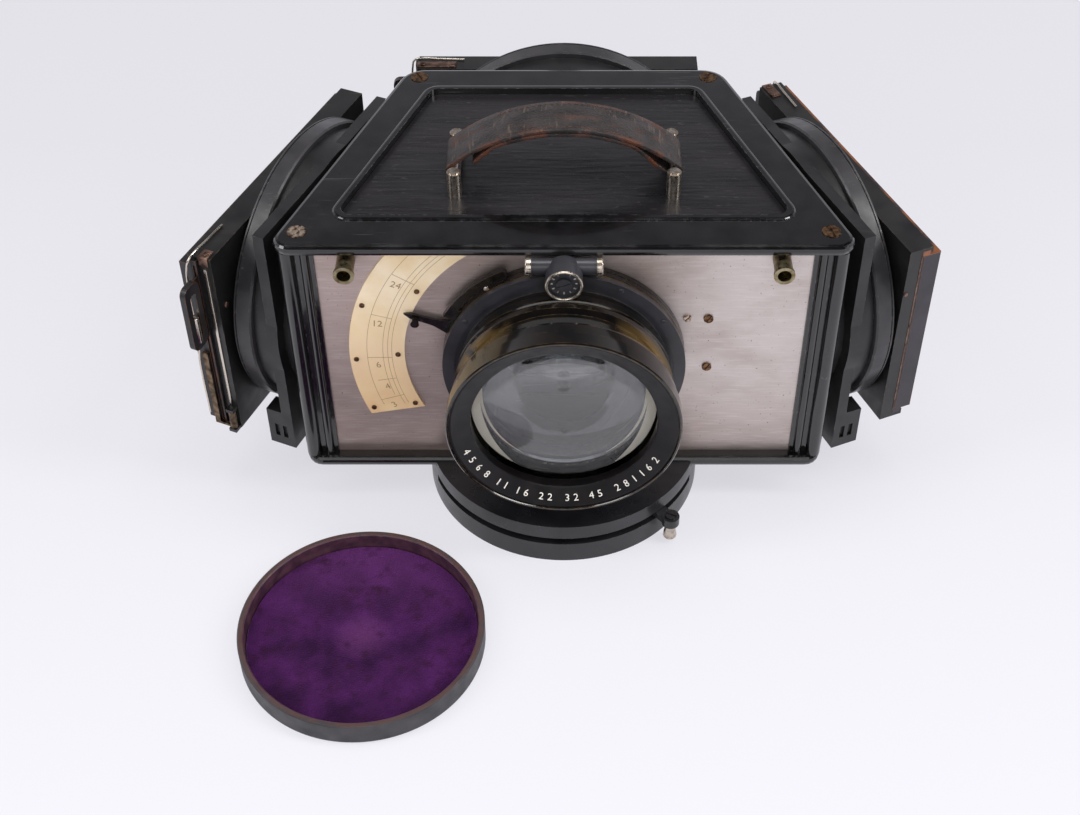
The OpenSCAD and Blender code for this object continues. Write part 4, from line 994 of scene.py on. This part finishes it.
class OBJECT_OT_camera_scale(bpy.types.Operator):
    """Finishes the aperture scale and engraves its lines and numbers"""
    bl_idname = "object.camera_scale"
    bl_label = "Aperture scale"

    # Radius, first and last angle of each line that goes along the scale
    arcs = ((71.9, 128, 202), (73.6, 128, 202), (75.6, 130, 197), (82.2, 138, 200))
    # Angle, inner and outer end of each line across it, and the number over the line
    steps = ((147, 72, 82.2, "24"), (163.5, 73.6, 82.2, "12"), (180.5, 72, 82.2, "6"), (190, 71.9, 80, "4"),
             (198, 72, 82.2, "3"))

    def execute(self, context):
        give(scale_metal(), "scale_plate")
        give(pin_brass(), "scale_pins")
        pieces = [draw_arc(radius, 0.16, start, end) for radius, start, end in self.arcs]
        for angle, inner, outer, words in self.steps:
            tick = draw_bar(inner, outer, -0.1, 0.1, -0.025, 0.025, 0)
            tick.data.transform(Matrix.Rotation(math.radians(angle), 4, "Z"))
            label = math.radians(angle + 3.2)
            middle = (inner + outer) / 2 + 1
            number = draw_number(words, 3.4)
            number.data.transform(Matrix.Rotation(label, 4, "Z") @ Matrix.Translation((middle * MM, 0, 0))
                                  @ Matrix.Rotation(math.radians(8) - math.pi, 4, "Z"))
            pieces += [tick, number]
        ink = rubbed_in_and_glint("Faded ink", context.scene.camera_finish.scale_ink)
        settle(join(pieces), on_lens(0.81), "scale_lines", ink, "case")
        return {"FINISHED"}


class OBJECT_OT_camera_handle(bpy.types.Operator):
    """Makes the leather handle that goes round the two rods"""
    bl_idname = "object.camera_handle"
    bl_label = "Handle strap"

    width = 20.0
    wrap = 2.75  # from the middle of a rod to the middle of the leather round it
    drop = 50.1  # from the rods down to the centre of the strap's arc

    def execute(self, context):
        thick = context.scene.camera_finish.leather_t / MM
        radius = math.hypot(ROD_X, self.drop) + self.wrap
        centre_z = ROD_Z - self.drop
        lean = math.degrees(math.atan2(ROD_X, self.drop))

        def on_arc(centre_x, centre_z, reach, degrees):
            turn = math.radians(degrees)
            return (centre_x + reach * math.sin(turn), STRAP_Y, centre_z + reach * math.cos(turn))

        # Round each rod the leather turns by 186 degrees
        over = [on_arc(0, centre_z, radius, -lean + 2 * lean * i / 44) for i in range(45)]
        right = [on_arc(ROD_X, ROD_Z, self.wrap, lean + 186 * i / 14) for i in range(1, 15)]
        left = [on_arc(-ROD_X, ROD_Z, self.wrap, -lean - 186 * (14 - i) / 14) for i in range(14)]
        # The returning layer closes up to the upper one over the first third of its way
        under_radius = radius - 1.05 * thick
        merge = 24
        under_right = [on_arc(0, centre_z, under_radius - 1.2 * (1 - i / 8) ** 1.5 - 2.3 * (1 - i / 8),
                              lean - 6 - (lean - 6 - merge) * i / 8) for i in range(1, 9)]
        under = [on_arc(0, centre_z, under_radius, merge - 2 * merge * i / 24) for i in range(1, 24)]
        under_left = [(-x, y, z) for x, y, z in reversed(under_right)]
        strap = self.strip(left + over + right + under_right + under + under_left, thick)
        settle(strap, Matrix.Identity(4), "handle_leather", strap_leather(), "case")
        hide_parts("handle_strap")
        self.stitches(centre_z, radius + thick / 2)
        return {"FINISHED"}

    def strip(self, path, thick):
        """One strip of leather with a slightly wavy cut edge."""
        obj = draw_strip(path, self.width, 5)
        rng = random.Random(7)
        waves = [(rng.uniform(0.1, 0.5), rng.uniform(0, 6.3)) for _ in range(4)]
        # The edges wander by up to 0.25 mm and curl down by 0.35 mm
        for vertex in obj.data.vertices:
            across = (vertex.co.y / MM - STRAP_Y) / (self.width / 2)
            wave = sum(math.sin(vertex.co.x / MM * pace + start) for pace, start in waves) / 4
            vertex.co.y += across * wave * 0.25 * MM
            vertex.co.z -= 0.35 * MM * across ** 2
        bpy.context.view_layer.objects.active = obj
        wall = obj.modifiers.new("wall", "SOLIDIFY")
        wall.thickness = thick * MM
        wall.offset = 0
        ease = obj.modifiers.new("ease", "BEVEL")
        ease.width = 0.3 * MM
        ease.segments = 2
        ease.limit_method = "ANGLE"
        ease.angle_limit = math.radians(50)
        return obj

    def stitches(self, centre_z, radius):
        """A row of waxed thread near each edge of the upper layer."""
        deselect()
        bpy.ops.mesh.primitive_uv_sphere_add(segments=8, ring_count=6, radius=MM)
        stitch = bpy.context.object
        stitch.data.transform(Matrix.Diagonal((0.85, 0.28, 0.22, 1)))
        places = []
        for y in (STRAP_Y - 8.0, STRAP_Y + 8.0):
            for index in range(-11, 12):
                turn = math.radians(index * 2.0)
                seat = Vector((radius * math.sin(turn), y, centre_z + radius * math.cos(turn) - 0.22))
                places.append(Matrix.Translation(seat * MM) @ Matrix.Rotation(turn, 4, "Y"))
        thread = thread_leather()
        settle(repeat(stitch, places), Matrix.Identity(4), "handle_stitches", thread, "case")


class OBJECT_OT_camera_backs(bpy.types.Operator):
    """Finishes the plate backs, their rings, holders and slides, and adds their small metal parts"""
    bl_idname = "object.camera_backs"
    bl_label = "Plate backs"

    # In a back's own axes, from its mount: x along it, with the pull end at minus, y outwards, z up
    plate_y = 23.5
    pull_end = -67.4
    far_end = 61.75
    rail_z = 47.4
    # Where the corner tab ends: it is longest on the rear back
    tab_end = {"left": -62.0, "right": -57.0, "rear": -49.6}
    # The wire goes along the rail, over its corner and down the pull end, and steps out half way
    wire_path = ((-46.0, 30.6, 48.2), (-58.0, 31.0, 48.3), (-66.0, 31.4, 48.3), (-69.4, 32.2, 46.6),
                 (-70.4, 33.0, 43.0), (-70.9, 33.6, 30.0), (-70.7, 33.8, 6.0), (-70.9, 34.6, -1.0),
                 (-70.9, 35.6, -8.0), (-70.6, 36.0, -16.0), (-70.2, 36.1, -39.5))

    def execute(self, context):
        castings, rings, backs = casting_black(), ring_black(), back_black()
        holders, adapters, brass = holder_black(), adapter_black(), latch_brass()
        dyes = {"left": glass("Blue filter glass", "#2a48c8"),
                "right": glass("Green filter glass", "#2f9a4c"),
                "rear": glass("Red filter glass", "#c02a22")}
        copper, bright = tab_copper(), bright_nickel()
        # The same on all three backs, so modelled once
        pins, strip, wire = self.pins(), self.edge_strip(), draw_wire(self.wire_path, 0.5)
        for side in SIDES:
            give(castings, f"standard_{side}")
            give(rings, f"focus_ring_{side}")
            give(backs, f"back_plate_{side}")
            give(adapters if side == "right" else holders, f"plate_holder_{side}")
            give(holders, f"dark_slide_{side}")
            give(brass, f"holder_latch_{side}")
            give(dyes[side], f"color_filter_{side}")
            fittings = ((twin(pins), "back_pins", copper, "old_brass", 35),
                        (twin(strip), "edge_strip", bright, "nickel", 35),
                        (self.corner_tab(side), "corner_tab", copper, "old_brass", 35),
                        (twin(wire), "wire_spring", bright, "nickel", 60))
            for piece, name, material, slot, smooth in fittings:
                settle(piece, on_back(side), f"{name}_{side}", material, f"back_{side}", smooth)
            if side == "left":
                rod = draw_pin(1.9, 13.0, (-75.0, 30.75, 8.0), (0, 0, 1), 0.4)
                settle(rod, on_back(side), "pull_rod_left", bright, "slide_left")
            if side == "right":
                # Bare edge of the adapter's sheet
                worn = draw_bar(self.far_end, self.far_end + 0.2, 29.2, 29.8, -43.5, 44.0, 0)
                settle(worn, on_back(side), "worn_edge_right", copper, "back_right")
        for model in (pins, strip, wire):
            bpy.data.objects.remove(model)
        return {"FINISHED"}

    def pins(self):
        """A worn pin in the plate and a small one in its far end."""
        return join([draw_pin(1.3, 0.8, (-61.9, self.plate_y + 0.05, 20.2), (0, -1, 0), 0.35),
                     draw_pin(0.9, 0.7, (self.far_end, 24.6, 25.1), (1, 0, 0), 0.25)])

    def edge_strip(self):
        """A narrow strip down the pull end."""
        end = self.pull_end
        return draw_bar(end - 0.15, end + 0.45, 25.9, 27.2, -33.8, 41.8, 0.15)

    def corner_tab(self, side):
        """Sheet tab over the corner of the rail, with its two screws."""
        end, top, tab_end = self.pull_end, self.rail_z, self.tab_end[side]
        return join([draw_bar(end, tab_end, 24.6, 29.2, top, top + 0.7, 0.2),
                     draw_bar(end - 0.2, end + 0.5, 24.6, 29.2, top - 3.8, top + 0.5, 0.2),
                     draw_pin(1.4, 0.7, (-65.0, 26.9, top + 0.6), (0, 0, 1), 0.3, 0.4),
                     draw_pin(1.2, 0.7, (tab_end - 1.8, 25.6, top + 0.6), (0, 0, 1), 0.3)])


class OBJECT_OT_camera_cap(bpy.types.Operator):
    """Finishes the loose lens cap and lays its velvet"""
    bl_idname = "object.camera_cap"
    bl_label = "Lens cap"

    def execute(self, context):
        give(cap_cloth(), "lens_cap")
        low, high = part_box("cap_lining")
        radius = (high.x - low.x) / 2 - 0.1 * MM
        deselect()
        bpy.ops.mesh.primitive_circle_add(vertices=96, radius=radius, fill_type="NGON")
        disc = bpy.context.object
        bpy.ops.object.mode_set(mode="EDIT")
        bpy.ops.mesh.select_all(action="SELECT")
        for step_mm in (1.2, 2, 4, 6, 8, 9):
            bpy.ops.mesh.inset(thickness=step_mm * MM)
        bpy.ops.object.mode_set(mode="OBJECT")
        # The edge of the disc turns up a little against the wall of the cap
        for vertex in disc.data.vertices:
            out = vertex.co.xy.length / radius
            vertex.co.z = 0.9 * MM * max(0.0, (out - 0.93) / 0.07) ** 2
        wall = disc.modifiers.new("wall", "SOLIDIFY")
        wall.thickness = context.scene.camera_finish.velvet_t
        wall.offset = 1
        place = Matrix.Translation((*[part * MM for part in CAP_CENTRE], low.z + 0.05 * MM))
        settle(disc, place, "velvet_disc", velvet(), "cap", 60)
        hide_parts("cap_lining")
        return {"FINISHED"}


STEPS = ("camera_stage", "camera_case", "camera_lens", "camera_scale", "camera_handle", "camera_backs",
         "camera_cap")


class VIEW3D_PT_camera(bpy.types.Panel):
    """Lists the steps and their settings"""
    bl_idname = "VIEW3D_PT_camera"
    bl_label = "Three-colour camera"
    bl_space_type = "VIEW_3D"
    bl_region_type = "UI"
    bl_category = "Camera"

    def draw(self, context):
        for step in STEPS:
            self.layout.operator(f"object.{step}")
        for group in (context.scene.camera_finish, context.scene.camera_stage):
            for name in group.__annotations__:
                self.layout.prop(group, name)


CLASSES = (CameraFinish, CameraStage, OBJECT_OT_camera_stage, OBJECT_OT_camera_case, OBJECT_OT_camera_lens,
           OBJECT_OT_camera_scale, OBJECT_OT_camera_handle, OBJECT_OT_camera_backs, OBJECT_OT_camera_cap,
           VIEW3D_PT_camera)


def register():
    for item in CLASSES:
        bpy.utils.register_class(item)
    bpy.types.Scene.camera_finish = bpy.props.PointerProperty(type=CameraFinish)
    bpy.types.Scene.camera_stage = bpy.props.PointerProperty(type=CameraStage)


def unregister():
    del bpy.types.Scene.camera_stage
    del bpy.types.Scene.camera_finish
    for item in reversed(CLASSES):
        bpy.utils.unregister_class(item)


def main():
    register()
    for step in STEPS:
        getattr(bpy.ops.object, step)()


if __name__ == "__main__":
    main()
